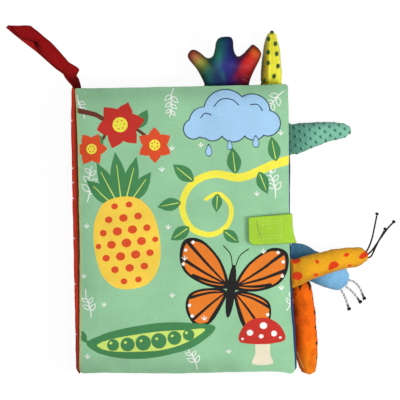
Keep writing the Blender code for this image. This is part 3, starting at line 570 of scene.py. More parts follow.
def stuffed_mesh(name, section, rings, around, shape):
    """A stuffed tube of points section(t, angle, shape), in mm, moved as a coarse simulated copy of it is."""
    coarse, spokes = 72, 44
    plain = [section(r / (coarse - 1), 2 * math.pi * k / spokes, None) for r in range(coarse)
             for k in range(spokes)]
    held = range(3 * spokes)
    seam = [r * spokes + k for r in range(coarse) for k in (0, spokes // 2)]
    moves = cloth_moves(plain, ring_faces(coarse, spokes), held, seam, pressure=7.0, shrink=0.16, cap=1.1)
    moves = moves.reshape(coarse, spokes, 3)
    moves = np.concatenate([moves, moves[:, :1]], axis=1)
    points = []
    for r in range(rings):
        t = r / (rings - 1)
        for k in range(around):
            move = Vector(between(moves, t * (coarse - 1), k / around * spokes))
            points.append(section(t, 2 * math.pi * k / around, shape) + move)
    return mesh_from(name, points, ring_faces(rings, around))


# Leaves
PITCH, SEAM_GAP, RIM = 7.0, 0.3, 1.2  # from leaf to leaf, between their edges, and half an edge's thickness
BOOK_HEIGHT = 34.7
PILLOW = 12.0  # how far from its seam a pad is full
# Corner radii: left is -1 and right 1, low is -1 and high 1
CORNERS = {(-1, 1): 1.3, (1, 1): 2.4, (1, -1): 4.0, (-1, -1): 3.0}
LEAF_NAMES = ("back_cover", "leaf_3", "leaf_2", "leaf_1", "front_cover")
COVER_EDGES = (((-109, -82.8), (-62, -81.9), (0, -80.7), (75, -80.9), (109, -81.9)),
               ((-109, 83.0), (-85, 82.3), (-54, 80.8), (-30, 80.9), (35, 81.5), (83, 82.2), (109, 82.1)),
               ((-82, -109.1), (-64, -109.4), (-3, -111.1), (56, -110.9), (69, -111.2), (80, -112.9)),
               ((-82, 109.1), (82, 109.1)))
PAGE_EDGES = (((-109, -82.2), (109, -81.6)),
              ((-109, 84.6), (-85, 84.2), (-54, 82.8), (-30, 82.5), (0, 82.0), (20, 82.2), (50, 83.0),
               (83, 82.3), (109, 81.6)),
              ((-82, -108.4), (-64, -108.8), (-3, -110.4), (56, -110.2), (69, -110.5), (79, -111.4)),
              ((-82, 108.7), (82, 108.7)))
TUCKS = (1.7, 1.7, 0.7, 0.0, 0.0)  # how far each leaf's fore edge stays behind the one above
EDGE_REACH = 124
PAD_COLUMNS, PAD_ROWS = 54, 72
RIM_PITCH = 2.0


def seam_level(index):
    return index * PITCH + (PITCH - SEAM_GAP) / 2


class Edge:
    """One side of a leaf as a table of places, with the small waves of a sewn edge."""

    def __init__(self, table, seed, wave=0.3):
        spots = np.arange(-EDGE_REACH, EDGE_REACH + 1, 1.0)
        xs, ys = zip(*table)
        waves = [wave * grain(s * 0.085, seed, 0) + wave * 0.4 * grain(s * 0.3, seed, 5) for s in spots]
        self.values = (pchip(xs, ys, np.clip(spots, xs[0], xs[-1])) + np.array(waves)).tolist()

    def __call__(self, along):
        place = min(max(along + EDGE_REACH, 0.0), len(self.values) - 1.001)
        k = int(place)
        return self.values[k] + (self.values[k + 1] - self.values[k]) * (place - k)


class Leaf:
    """Place, outline and crown of one padded leaf, in mm."""

    def __init__(self, index):
        self.name, self.index, self.seam = LEAF_NAMES[index], index, seam_level(index)
        self.crown = PITCH / 2 - SEAM_GAP - RIM
        left, right, bottom, top = COVER_EDGES if self.name == "front_cover" else PAGE_EDGES
        tables = (left, tuple((y, x - TUCKS[index]) for y, x in right), bottom, top)
        self.left, self.right, self.bottom, self.top = (Edge(t, 17.0 * index + 3 * k)
                                                        for k, t in enumerate(tables))

    def gaps(self, x, y):
        """Distances from the left, right, lower and upper edge."""
        return x - self.left(y), self.right(y) - x, y - self.bottom(x), self.top(x) - y

    def edge_distance(self, x, y):
        dl, dr, db, dt = self.gaps(x, y)
        radius = CORNERS[(-1 if dl < dr else 1, -1 if db < dt else 1)]
        dx, dy = min(dl, dr), min(db, dt)
        if dx < radius and dy < radius:
            return radius - math.hypot(radius - dx, radius - dy)
        return min(dx, dy)

    def level(self, x, y):
        """Height of the crown over the seam."""
        dl, dr, db, dt = self.gaps(x, y)
        u, v = 2 * dl / (dl + dr) - 1, 2 * db / (db + dt) - 1
        return SEAM_GAP / 2 + RIM + self.crown * max(1 - u**4, 0) * max(1 - v**4, 0) - 0.04

    def rise(self, x, y, side, relief):
        """Height of a face: the stuffing lifts it steeply at the seam and evens out some way in."""
        d = max(self.edge_distance(x, y), 0.0)
        lift = (1 - (1 - min(d / PILLOW, 1.0)) ** 2) ** 0.7
        shape = self.level(x, y) * lift - relief(x, y, d)
        return self.seam + side * max(shape, 0.12 * min(d / 0.3, 1.0))

    def outline(self):
        """Points round the leaf, anticlockwise, with rounded corners."""
        arcs = []
        for sx, sy in ((1, 1), (-1, 1), (-1, -1), (1, -1)):
            side_x = self.right if sx > 0 else self.left
            side_y = self.top if sy > 0 else self.bottom
            arc = []
            for n in range(6):
                a = math.pi / 2 * n / 5
                back, down = (CORNERS[(sx, sy)] * (1 - share) for share in (math.cos(a), math.sin(a)))
                y = side_y(side_x(side_y(0)) - sx * back) - sy * down
                arc.append((side_x(y) - sx * back, y))
            arcs.append(arc if sx * sy > 0 else arc[::-1])
        loop = []
        for k, arc in enumerate(arcs):
            loop += arc
            (ax, ay), (bx, by) = arc[-1], arcs[(k + 1) % 4][0]
            count = max(2, round(math.hypot(bx - ax, by - ay) / RIM_PITCH))
            for n in range(1, count):
                x, y = ax + (bx - ax) * n / count, ay + (by - ay) * n / count
                loop.append(((x, self.top(x)), (self.left(y), y), (x, self.bottom(x)), (self.right(y), y))[k])
        return loop

    def light(self, x, y):
        """Painted shade: a little darker along the head, the foot and the spine, where the pad curves away.
        """
        dl, _, db, dt = self.gaps(x, y)
        ripple = 1 + 0.5 * grain(x * 0.07, y * 0.07, self.index * 3.0)
        head = 0.20 * bell(max(dt, 0), 0, 12.5)
        foot = 0.20 * bell(max(db, 0), 0, 11.0) * (1 - 0.8 * step(x, 25, 65))
        spine = 0.07 * math.exp(-max(dl, 0) / 30.0)
        return 1 - min((head + foot + spine) * ripple, 0.3)


def flat(x, y, d):
    """No dips."""
    return 0.0


def wrinkles(seed, depth):
    """Dips of the cloth: short puckers square to the seams, and long soft waves across the pad."""
    def relief(x, y, d):
        along = x if abs(y) > 100 else y
        near = math.exp(-d / 11.0) * min(d / 2.5, 1.0)
        inner = min(d / 14.0, 1.0)
        pucker = 0.5 + grain(along * 0.28, d * 0.03, seed)
        short = 0.5 + grain(along * 0.75, d * 0.05, seed + 7)
        broad = 0.5 + grain(x * 0.022, y * 0.018, seed + 3)
        crease = max(0.0, 1 - abs(grain(x * 0.035 + y * 0.02, y * 0.03 - x * 0.012, seed + 11)) * 14)
        return depth * (pucker * 0.9 * near + short * 0.35 * near + broad * 0.5 * inner
                        + crease * 0.16 * inner)
    return relief


def pad_moves(leaf):
    """Moves in mm of a grid over a leaf's two faces when its cloth is gathered along the seam and stuffed."""
    cells = [(i, j) for i in range(PAD_COLUMNS + 1) for j in range(PAD_ROWS + 1)]
    rim = [(i, j) for i, j in cells if i in (0, PAD_COLUMNS) or j in (0, PAD_ROWS)]
    points, index = [], {}
    for side in (1, -1):
        for i, j in cells:
            if side < 0 and (i, j) in rim:
                index[side, i, j] = index[1, i, j]
                continue
            u, v = i / PAD_COLUMNS, j / PAD_ROWS
            y = leaf.bottom(0) * (1 - v) + leaf.top(0) * v
            x = leaf.left(y) * (1 - u) + leaf.right(y) * u
            y = leaf.bottom(x) * (1 - v) + leaf.top(x) * v
            index[side, i, j] = len(points)
            points.append(Vector((x, y, leaf.rise(x, y, side, flat))))
    faces = [(index[side, i, j], index[side, i + 1, j], index[side, i + 1, j + 1], index[side, i, j + 1])
             for side in (1, -1) for i in range(PAD_COLUMNS) for j in range(PAD_ROWS)]
    held = [k for k, p in enumerate(points) if leaf.edge_distance(p.x, p.y) > 17]
    seam = sorted(index[1, i, j] for i, j in rim)
    moves = cloth_moves(points, faces, held, seam, pressure=3.0, shrink=0.10, cap=0.9)
    return {side: np.array([[moves[index[side, i, j]] for j in range(PAD_ROWS + 1)]
                            for i in range(PAD_COLUMNS + 1)])
            for side in (1, -1)}


def printable(leaf, shapes):
    """The shapes that reach onto a leaf, anticlockwise and without doubled points."""
    ready = []
    for shape, colour in shapes:
        if all(leaf.edge_distance(x, y) < 0.1 for x, y in shape):
            continue
        kept = []
        for x, y in shape:
            if not kept or math.hypot(x - kept[-1][0], y - kept[-1][1]) > 0.02:
                kept.append((x, y))
        ready.append((anticlockwise(kept), colour))
    return ready


def crossed(outline, shapes):
    """The outline with a point added wherever a shape's edge crosses it, so that both faces meet there."""
    starts = np.array([p for shape, _ in shapes for p in shape])
    runs = np.array([p for shape, _ in shapes for p in shape[1:] + shape[:1]]) - starts
    fine = []
    for (ax, ay), (bx, by) in zip(outline, outline[1:] + outline[:1]):
        turn = (bx - ax) * runs[:, 1] - (by - ay) * runs[:, 0]
        turn = np.where(np.abs(turn) < 1e-9, 1e-9, turn)
        dx, dy = starts[:, 0] - ax, starts[:, 1] - ay
        along = (dx * runs[:, 1] - dy * runs[:, 0]) / turn
        across = (dx * (by - ay) - dy * (bx - ax)) / turn
        hits = along[(along > 0.001) & (along < 0.999) & (across >= 0) & (across <= 1)]
        fine += [(ax + (bx - ax) * t, ay + (by - ay) * t) for t in (0.0, *sorted(hits.tolist()))]
    return fine


def page_face(bm, layer, leaf, outline, side, page, relief, moves):
    """Adds one printed face of a leaf, cut along its print, with a colour on every corner."""
    shapes, ground, pitch = page
    points = [Vector(p) for p in outline]
    rim = leaf.outline()
    for depth in (0.12, 0.4, 0.8, 1.5, 2.6):
        points += inset(rim, depth)
    nx, ny = int(170 / pitch), int(224 / pitch)
    for i in range(nx + 1):
        for j in range(ny + 1):
            x, y = -85 + 170 * i / nx, -114 + 224 * (j + 0.5 * (i % 2)) / ny
            if leaf.edge_distance(x, y) > 3.6:
                points.append(Vector((x, y)))
    faces, colours = [list(range(len(outline)))], [ground]
    for shape, colour in shapes:
        faces.append(list(range(len(points), len(points) + len(shape))))
        points.extend(Vector(p) for p in shape)
        colours.append(colour)
    verts, _, tris, given, _, origins = delaunay_2d_cdt(points, [], faces, 0, 1e-4)
    made = []
    for v, known in zip(verts, given):
        on_rim = min(known, default=len(outline)) < len(outline)
        dl, dr, db, dt = (max(gap, 0.0) for gap in leaf.gaps(v.x, v.y))
        column, row = dl / max(dl + dr, 1) * PAD_COLUMNS, db / max(db + dt, 1) * PAD_ROWS
        place = Vector((v.x, v.y, leaf.seam if on_rim else leaf.rise(v.x, v.y, side, relief)))
        made.append(bm.verts.new((place + Vector(between(moves[1 if on_rim else side], column, row))) * MM))
    hem = mix(ground, (0.50, 0.52, 0.20), 0.8)
    for tri, origin in zip(tris, origins):
        if 0 not in origin:
            continue
        tri = tri if side > 0 else tri[::-1]
        face = bm.faces.new([made[k] for k in tri])
        face.smooth = True
        mx, my = sum(verts[k].x for k in tri) / 3, sum(verts[k].y for k in tri) / 3
        at_hem = leaf.name == "front_cover" and side > 0 and mx - leaf.left(my) < 1.3
        colour = hem if at_hem else colours[max(origin)]
        for loop, k in zip(face.loops, tri):
            # Painted shade along the head, the foot and the spine darkens the print's colour at each corner
            light = leaf.light(verts[k].x, verts[k].y)
            loop[layer] = (*(c * light for c in colour), 1.0)


def build_leaf(leaf, pages, reliefs, material, slot, moves):
    """One padded leaf: two printed faces that meet in the seam."""
    bm = bmesh.new()
    layer = bm.loops.layers.float_color.new("tint")
    pages = [(printable(leaf, shapes), ground, pitch) for shapes, ground, pitch in pages]
    outline = crossed(leaf.outline(), pages[0][0] + pages[1][0])
    for side, page, relief in zip((1, -1), pages, reliefs):
        page_face(bm, layer, leaf, outline, side, page, relief, moves)
    bmesh.ops.remove_doubles(bm, verts=bm.verts, dist=1e-6)
    mesh = bpy.data.meshes.new(leaf.name + "_pad")
    bm.to_mesh(mesh)
    bm.free()
    nodes = [f"{leaf.name}_{part}" for part in ("front_panel", "back_panel", "crinkle_film", "wadding")]
    fit(mesh, material, slot, leaf.name, *nodes)


def page_prints():
    """(shapes, ground colour, grid pitch) of the front and back of each leaf, from the back cover up."""
    hills = [([(-84, -109), (88, -109), (88, -70), (40, -52), (-10, -66), (-50, -50), (-84, -62)],
              DARK_GREEN),
             ([(-84, -109), (88, -109), (88, -88), (30, -74), (-30, -90), (-84, -80)], LIME_PRINT)]
    night, dots, waves, sprigs, meadow = [], [], [], [], list(hills)
    for k in range(22):
        night += star(-72 + (k * 47) % 150, -96 + (k * 71) % 190, 2.6 + (k % 3), WHITE if k % 4 else YELLOW,
                      12 * k)
    night += [(ellipse(46, 66, 20, 20, 0, 48), YELLOW), (ellipse(38, 71, 17, 17, 0, 48), DEEP_BLUE)]
    for k in range(7):
        x, sway = -64 + 24 * k, 16 * math.sin(k * 2.1)
        meadow += flower(x, -42 + sway, 0.9, (RED, ORANGE, YELLOW)[k % 3], WHITE, 20 * k)
        meadow.append((stroke([(x, -54 + sway), (x + 2, -74), (x, -86)], 1.4), DARK_GREEN))
    sky = cloud(-34, 66, 1.1, WHITE, SKY) + cloud(36, 30, 0.9, WHITE, SKY)
    sky += [(ellipse(48, 76, 15, 15, 0, 40), YELLOW)] + hills
    orchard = pineapple(-36, 20, 1.0, -6) + pod(14, -60, 1.1, 14) + toadstool(50, 20, 1.1)
    fliers = butterfly(-30, 40, 1.0, 14) + butterfly(34, -30, 1.1, -12) + hills
    for i in range(-4, 5):
        for j in range(-6, 7):
            colour = (SPOT_RED, DARK_GREEN, SKY)[(i + j) % 3]
            dots.append((ellipse(18 * i + (9 if j % 2 else 0), 16 * j, 3.0, 3.0, 0, 16), colour))
    for j in range(-5, 6):
        crests = [(x, 19 * j + 5 * (k % 2)) for k, x in enumerate((-74, -50, -25, 0, 25, 50, 74))]
        waves.append((stroke(crests, 2.4), PALE_BLUE))
    for i in range(-1, 2):
        for j in range(-2, 3):
            sprigs += sprig(52 * i + (12 if j % 2 else -8), 40 * j - 12, 0.85, 20 * ((i + j) % 3) - 20, MINT)
            sprigs += tick(52 * i + 24, 40 * j + 14)
    return {
        "back_cover": ((dots, CREAM, 4.5), (sprigs, MINT, 4.5)),
        "leaf_3": ((waves, SKY, 4.5), (orchard, CREAM, 4.5)),
        "leaf_2": ((fliers, PALE_BLUE, 4.5), (dots, YELLOW, 4.5)),
        "leaf_1": ((night, DEEP_BLUE, 4.5), (meadow, PALE_BLUE, 4.5)),
        "front_cover": ((cover_print(), MINT, 2.6), (sky, PALE_BLUE, 4.5)),
    }


def make_leaves():
    """Five pads. One simulation serves all, mirrored on every other leaf; the back cover lies flat below."""
    cloth = fabric("printed_cloth", rough=0.8, weave_mm=0.6, weave_um=26, mottle=0.07, sheen=0.04,
                   specular=0.2)
    prints = page_prints()
    moves = pad_moves(Leaf(4))
    mirrored = {side: grid[:, ::-1] * np.array((1, -1, 1)) for side, grid in moves.items()}
    slots = ("mint_cloth", "cream_cloth", "sky_cloth", "navy_cloth", "mint_cloth")
    for index, (name, slot) in enumerate(zip(LEAF_NAMES, slots)):
        gathers, lower = (mirrored if index % 2 else moves), wrinkles(40 + index, 0.5)
        if name == "back_cover":
            gathers, lower = {1: gathers[1].copy(), -1: gathers[-1] * np.array((1, 1, 0))}, flat
            for rim in (np.s_[[0, -1]], np.s_[:, [0, -1]]):
                gathers[1][rim] = gathers[-1][rim]
        upper = wrinkles(index * 13 + 2, 0.75 if name == "front_cover" else 0.5)
        build_leaf(Leaf(index), prints[name], (upper, lower), cloth, slot, gathers)


# Spine
SPINE_OUTER = Edge(((-109, -82.6), (-104, -84.8), (-62, -84.8), (0, -84.9), (75, -84.9), (109, -83.8)),
                   91.0, 0.25)
SPINE_LEVELS = [0.2] + [seam_level(n) for n in range(5)] + [BOOK_HEIGHT - 2.2]
SPINE_TOP = 5  # the stretch that turns in over the cover's edge
STITCH_LINES = (47.6, 37.0, 24.8, -5.6, -40.6, -79, 84)


def spine_section(k, t, y, leaf):
    """Outer skin of spine stretch k at share t of its height: x and z in mm."""
    low, high = SPINE_LEVELS[k], SPINE_LEVELS[k + 1]
    z = low + (high - low) * t
    share = 2 * z / BOOK_HEIGHT - 1
    x = SPINE_OUTER(y) + 0.9 * min(share * share, 1.0)
    if k == SPINE_TOP:
        turn = math.pi / 2 * t
        x = SPINE_OUTER(y) + 0.6 + (leaf.left(y) + 0.3 - SPINE_OUTER(y) - 0.6) * (1 - math.cos(turn))
        z = low + (high - low) * math.sin(turn)
    if k == 0:
        x += 2.2 * (1 - t) ** 3
    return x, z


def spine_colour(x, y, z):
    if any(abs(y - line) < 0.5 for line in STITCH_LINES) and 9 < z < 32.3 and x < SPINE_OUTER(y) + 1.4:
        return (0.85, 0.72, 0.70)
    red = mix((0.30, 0.022, 0.014), SPINE_RED, step(y, -95, -50))
    if z > 32.3:
        return mix(red, (0.20, 0.02, 0.006), step(x - SPINE_OUTER(y), 2.1, 3.6))
    return red


def make_spine():
    """Six stretches of spine cloth: one on each cover, and one across each gap between leaves."""
    cloth = fabric("spine_cloth", rough=0.8, weave_mm=0.6, weave_um=30, mottle=0.1, sheen=0.04, specular=0.15)
    leaf = Leaf(4)
    ys = np.linspace(-108.6, 108.6, 420)
    for k in range(6):
        rows = 12 if k == SPINE_TOP else 8

        def point(skin, r, c):
            y, inner, t = ys[c], skin > 0, r / rows
            x, z = spine_section(k, t, y, leaf)
            wave = 0.2 * grain(y * 0.09, z * 0.12, 4.0) + 0.12 * grain(y * 0.4, z * 0.3, 9.0)
            taper = t if k == SPINE_TOP else 0
            return x + wave + inner * 1.1 * (1 - taper), y, z - inner * 0.9 * taper

        mesh = slab(f"spine_cloth_{k + 1}", rows + 1, len(ys), point)
        tint(mesh, spine_colour)
        if k in (0, SPINE_TOP):
            name = LEAF_NAMES[min(k, 4)]
            fit(mesh, cloth, "red_spine_cloth", name, name + "_spine")
            continue
        piece = link(mesh, cloth)
        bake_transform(piece)
        if k < 4:
            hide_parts(LEAF_NAMES[k] + "_spine")


# Tails
TIP_SHARE = 0.07  # the share of a tail's rings that close its round tip


def puffed(angle, wide, thick, ridge=0.0, extra=0.0):
    """Offsets across and up of a point of a stuffed section that has a ridge at both side seams."""
    ca, sa = math.cos(angle), math.sin(angle)
    x = math.copysign(abs(ca) ** 0.87, ca) * wide
    z = math.copysign(abs(sa) ** 0.87, sa) * thick
    size = math.hypot(x, z) or 1.0
    return x + math.copysign(ridge * bell(sa, 0, 0.12), ca) + extra * x / size, z + extra * z / size


class Tail:
    """The centre line and section sizes of a stuffed tail, in mm, as its CAD solid has them."""

    def __init__(self, root, out, side, length, width, thickness, lean, droop, hem, shares):
        self.root, self.out, self.side, self.length = Vector(root), Vector(out), Vector(side), length
        table = [(0.0, 0.0, 0.97, 2 * hem / thickness, 0.0)] + list(shares)
        self.xs, *columns = zip(*table)
        scales = (lean, width / 2, thickness / 2, droop)
        self.lean, self.wide, self.thick, self.drop = ([v * scale for v in c]
                                                       for c, scale in zip(columns, scales))

    def value(self, column, s):
        return float(pchip(self.xs, column, min(max(s, 0.0), 1.0)))

    def centre(self, s):
        return (self.root + self.out * (s * self.length) + self.side * self.value(self.lean, s)
                - Vector((0, 0, self.value(self.drop, s))))

    def mesh(self, name, rings, around, extra_at):
        """A stuffed tail lofted along its line, with a round tip and a ridge at both side seams."""
        def section(t, angle, extra_at):
            body = min(t / (1 - TIP_SHARE), 1.0)
            s = min(body, 0.995)
            along = (self.centre(min(s + 0.01, 1.0)) - self.centre(max(s - 0.01, 0.0))).normalized()
            across = Vector((0, 0, 1)).cross(along).normalized()
            centre = self.centre(body)
            wide, thick = self.value(self.wide, body), self.value(self.thick, body)
            if t > 1 - TIP_SHARE:
                turn = (t - 1 + TIP_SHARE) / TIP_SHARE * math.pi / 2 * 0.97
                centre = centre + along * (min(wide, thick) * 0.8 * math.sin(turn))
                wide, thick = wide * math.cos(turn), thick * math.cos(turn)
            if extra_at:
                extra = extra_at(body * self.length, angle)
                x, z = puffed(angle, wide, thick, 0.3 * min(wide / 3.0, 1.0), extra)
            else:
                x, z = puffed(angle, wide, thick)
            return centre + across * x + along.cross(across) * z

        return stuffed_mesh(name, section, rings, around, extra_at)


def stuffing(seed, amount, pucker=0.12):
    """Soft dents of the stuffing, creases across the tail, and fine puckers along both side seams."""
    def shape(along, angle):
        dent = grain(along * 0.13, math.cos(angle) * 0.9, math.sin(angle) * 0.9 + seed)
        fold = grain(along * 0.42, math.cos(angle) * 0.5, seed + 5.0)
        near = bell(math.sin(angle), 0, 0.42) * (1 - 0.6 * bell(math.sin(angle), 0, 0.1))
        gather = math.sin(along * 2 * math.pi / 3.1 + 2.2 * grain(along * 0.3, seed, 0))
        return amount * (dent * 1.1 + fold * 0.6) + pucker * gather * near - 0.1
    return shape


def spot_field(spots, soft=0.25):
    """spots: (x, y, rx, ry, turn). Returns how deep in a spot a point is, from 0 to 1."""
    def inside(x, y):
        best = 0.0
        for cx, cy, rx, ry, turn in spots:
            a, b = moved([(x - cx, y - cy)], 0, 0, -turn)[0]
            r = math.hypot(a / rx, b / ry)
            if r < 1.3:
                best = max(best, min(max((1 - r) * min(rx, ry) / soft * 0.5 + 0.5, 0), 1))
        return best
    return inside


# Each table's rows: place along the tail, then shares of its lean, width, thickness and droop
SPOTTED = Tail((80.7, -35.8, 31.35), (1, 0, 0), (0, 1, 0), 57.7, 22.5, 13.2, 12.3, 5.8, 0.8, (
    (0.04, 0.01, 0.96, 0.26, 0.00), (0.10, 0.07, 0.93, 0.44, 0.02), (0.21, 0.26, 0.86, 0.78, 0.06),
    (0.37, 0.49, 0.80, 0.94, 0.16), (0.58, 0.755, 0.73, 1.00, 0.36), (0.79, 0.92, 0.68, 0.96, 0.62),
    (0.92, 0.99, 0.63, 0.86, 0.86), (0.97, 1.00, 0.53, 0.72, 0.95), (1.00, 1.00, 0.38, 0.52, 1.00)))
BLUE = Tail((80.3, -22.8, 17.35), (1, 0, 0), (0, 1, 0), 44.3, 22.0, 11.8, -19.6, 9.6, 1.2, (
    (0.10, 0.04, 1.02, 0.26, 0.00), (0.20, 0.13, 1.05, 0.50, 0.07), (0.34, 0.33, 1.06, 0.86, 0.20),
    (0.52, 0.54, 1.03, 1.00, 0.44), (0.71, 0.77, 0.97, 1.00, 0.70), (0.86, 0.92, 0.89, 0.94, 0.88),
    (0.95, 0.97, 0.76, 0.76, 0.96), (1.00, 1.00, 0.50, 0.42, 1.00)))
DOTTED = Tail((81.4, 66.8, 10.35), (1, 0, 0), (0, 1, 0), 47.4, 25.0, 13.2, 6.4, 2.6, 1.2, (
    (0.09, 0.01, 0.97, 0.30, 0.02), (0.18, 0.12, 0.93, 0.48, 0.06), (0.33, 0.38, 0.82, 0.84, 0.24),
    (0.50, 0.62, 0.71, 1.00, 0.50), (0.68, 0.82, 0.58, 0.94, 0.74), (0.84, 0.93, 0.49, 0.82, 0.90),
    (0.94, 0.98, 0.41, 0.64, 0.97), (1.00, 1.00, 0.27, 0.36, 1.00)))
SPECKLED = Tail((69.0, 107.6, 17.35), (0, 1, 0), (-1, 0, 0), 42.6, 17.0, 14.2, -1.4, 7.0, 1.2, (
    (0.08, 0.00, 1.02, 0.34, 0.00), (0.16, 0.02, 1.00, 0.52, 0.03), (0.30, 0.12, 0.93, 0.90, 0.13),
    (0.48, 0.32, 0.84, 1.00, 0.32), (0.67, 0.52, 0.73, 0.92, 0.58), (0.84, 0.72, 0.56, 0.76, 0.82),
    (0.95, 0.90, 0.38, 0.56, 0.94), (1.00, 1.00, 0.20, 0.30, 1.00)))


def dress(mesh, name, colour, cloth, slot):
    """Colours a tail's mesh and puts it in the place of the tail's CAD solid."""
    tint(mesh, colour)
    fit(mesh, cloth, slot, name, name)


def spotted_tail():
    spots = [(*at(297.4, 276.0), 3.9, 3.2, 0), (*at(317, 261.7), 1.3, 1.9, 35),
             (*at(316, 274.8), 1.9, 1.2, 10), (*at(346.4, 254.8), 2.1, 1.5, 20),
             (*at(349.9, 265.6), 1.4, 0.9, 5), (*at(296, 261), 3.6, 2.0, 12)]
    patches = [[at(*p) for p in outline] for outline in (
        ((328.3, 270.4), (328.6, 265.3), (331, 262.3), (333.9, 261), (337, 262.2), (339.5, 264.7),
         (337.2, 266.8), (332, 269.6)),
        ((358.6, 258.6), (360.5, 254.6), (363, 252.3), (367, 251), (369, 255), (366, 257.6), (362, 258.9)))]
    under = [(x + 6.5, y - 1.5, rx, ry, turn) for x, y, rx, ry, turn in spots]
    top_spots = spot_field(spots)
    low_spots = spot_field(under + [(112, -28, 3.2, 2.6, 0), (126, -22, 1.8, 1.3, 0)])

    def colour(x, y, z):
        centre = SPOTTED.centre((x - SPOTTED.root.x) / SPOTTED.length)
        across = (y - centre.y) / 8
        depth = top_spots(x, y) if z > centre.z else low_spots(x, y)
        if z > centre.z and any(in_polygon(outline, x, y) for outline in patches):
            depth = 1.0
        # Painted shade: darker on the lower side and towards the root, darkest where it meets the cover
        ground = mix(AMBER, (0.58, 0.22, 0.008), 0.7 * step(-across, 0.45, 1.0) + 0.4 * step(92 - x, 0, 9))
        ground = mix(ground, (0.16, 0.05, 0.004), 0.7 * (1 - step(x, 81.0, 83.2)))
        return mix(ground, (0.67, 0.042, 0.007), depth)

    cloth = fabric("short_pile_amber", rough=0.92, weave_mm=0.7, weave_um=30, mottle=0.13, sheen=0.06,
                   nap=0.12, nap_mm=0.7, specular=0.15)
    mesh = SPOTTED.mesh("spotted_tail_stuffed", 118, 84, stuffing(3.0, 0.42))
    dress(mesh, "spotted_tail", colour, cloth, "amber_cloth")


def blue_tail():
    def colour(x, y, z):
        # Painted shade: darker towards the root, where the spotted tail and the book shade it
        return mix((0.05, 0.155, 0.26), (0.19, 0.44, 0.70), step(x, 92, 116))

    cloth = fabric("short_pile_blue", rough=0.95, weave_mm=0.7, weave_um=30, mottle=0.16, sheen=0.15,
                   nap=0.16, nap_mm=0.8, specular=0.15)
    mesh = BLUE.mesh("blue_tail_stuffed", 74, 72, stuffing(8.0, 0.36))
    dress(mesh, "blue_tail", colour, cloth, "blue_cloth")


def dotted_tail():
    origin = at(295.7, 127.0)
    (ax, ay), (bx, by) = (4.06, -2.84), (7.6, 1.0)  # steps from a raised dot to its two neighbours
    span = ax * by - ay * bx

    def from_dot(x, y):
        """Offset in mm from the nearest raised dot."""
        dx, dy = x - origin[0], y - origin[1]
        i, j = (dx * by - dy * bx) / span, (dy * ax - dx * ay) / span
        i, j = i - round(i), j - round(j)
        return i * ax + j * bx, i * ay + j * by

    def raised(x, y, z, normal):
        r = math.hypot(*from_dot(x, y)) / 1.25
        return 0.75 * math.sqrt(max(0.0, 1 - r * r)) * step(x, 84, 87) * step(abs(normal.z), 0.12, 0.5)

    def colour(x, y, z):
        ox, oy = from_dot(x, y)
        # Painted light on each raised dot: shade on its lower-left side, a lighter painted highlight on the
        # rest
        dot_shade_side = step(-(0.9 * ox + 0.35 * oy), -0.55, 0.35)
        ground = mix((0.10, 0.30, 0.215), (0.20, 0.50, 0.36), step(x, 86, 108))
        ground = mix(ground, (0.10, 0.27, 0.20), 0.5 * step(y, 74, 79) * (1 - step(x, 110, 122)))
        inside = 0.92 * (1 - step(math.hypot(ox, oy), 1.15, 1.5))
        return mix(ground, mix((0.14, 0.42, 0.32), (0.025, 0.13, 0.09), dot_shade_side), inside)

    cloth = fabric("dot_plush", rough=0.85, weave_mm=0.5, weave_um=20, mottle=0.1, sheen=0.08, nap=0.06,
                   nap_mm=0.5, specular=0.25)
    mesh = DOTTED.mesh("dotted_tail_stuffed", 190, 150, stuffing(12.0, 0.3, 0.16))
    displace(mesh, raised)
    dress(mesh, "dotted_tail", colour, cloth, "green_dot_plush")


def speckled_tail():
    tops = [(268.4, 39), (268.0, 52.5), (268.0, 63.2), (273.9, 76.5), (277.8, 66.3), (276.6, 54.0),
            (275.4, 43.8), (272.0, 31.8)]
    sides = [(262.9, 43), (262.0, 56), (261.6, 65), (264.2, 80.6)]
    spots = ([(*at(x, y, 16), 1.45, 1.95, -6) for x, y in tops]
             + [(*at(x, y, 14), 1.0, 1.9, -4) for x, y in sides])
    field = spot_field(spots, 0.3)

    def colour(x, y, z):
        s = (y - SPECKLED.root.y) / SPECKLED.length
        centre = SPECKLED.centre(s)
        across = (x - centre.x) / (SPECKLED.value(SPECKLED.wide, s) + 0.01)
        depth = field(x, y) if z > centre.z - 1 else field(x + 2.4, y + 5.5)
        low = 1 - step(y, 120, 152)
        # Painted shade: a dark left side and an ochre band beside it, strongest towards the base, and darker
        # fold lines and right edge
        shaded_side = (1 - step(across, -0.92, -0.60)) * (0.55 + 0.45 * low)
        ochre_shade = (1 - step(across, -0.40, -0.16)) * (0.30 + 0.70 * low)
        fold = (bell(across, 0.46, 0.09) * 0.4 + bell(across, 0.06, 0.06) * 0.35
                + 0.5 * step(across, 0.86, 1.0))
        ground = mix(mix((0.92, 0.84, 0.04), TAIL_YELLOW, 0.5), (0.34, 0.24, 0.008), 0.95 * ochre_shade)
        ground = mix(mix(ground, (0.06, 0.045, 0.003), 0.92 * shaded_side), (0.40, 0.34, 0.012), fold)
        return mix(ground, (0.018, 0.07, 0.012), depth)

    dents = stuffing(21.0, 0.3, 0.12)

    def shape(along, angle):
        ridges = bell(angle, math.pi * 0.60, 0.16) + 0.5 * bell(angle, math.pi * 0.36, 0.14)
        return dents(along, angle) + 0.6 * ridges * min(along / 10, 1)

    cloth = fabric("yellow_satin", rough=0.5, weave_mm=0.4, weave_um=10, mottle=0.08, sheen=0.0, specular=0.3)
    mesh = SPECKLED.mesh("speckled_tail_stuffed", 130, 110, shape)
    dress(mesh, "speckled_tail", colour, cloth, "yellow_satin")
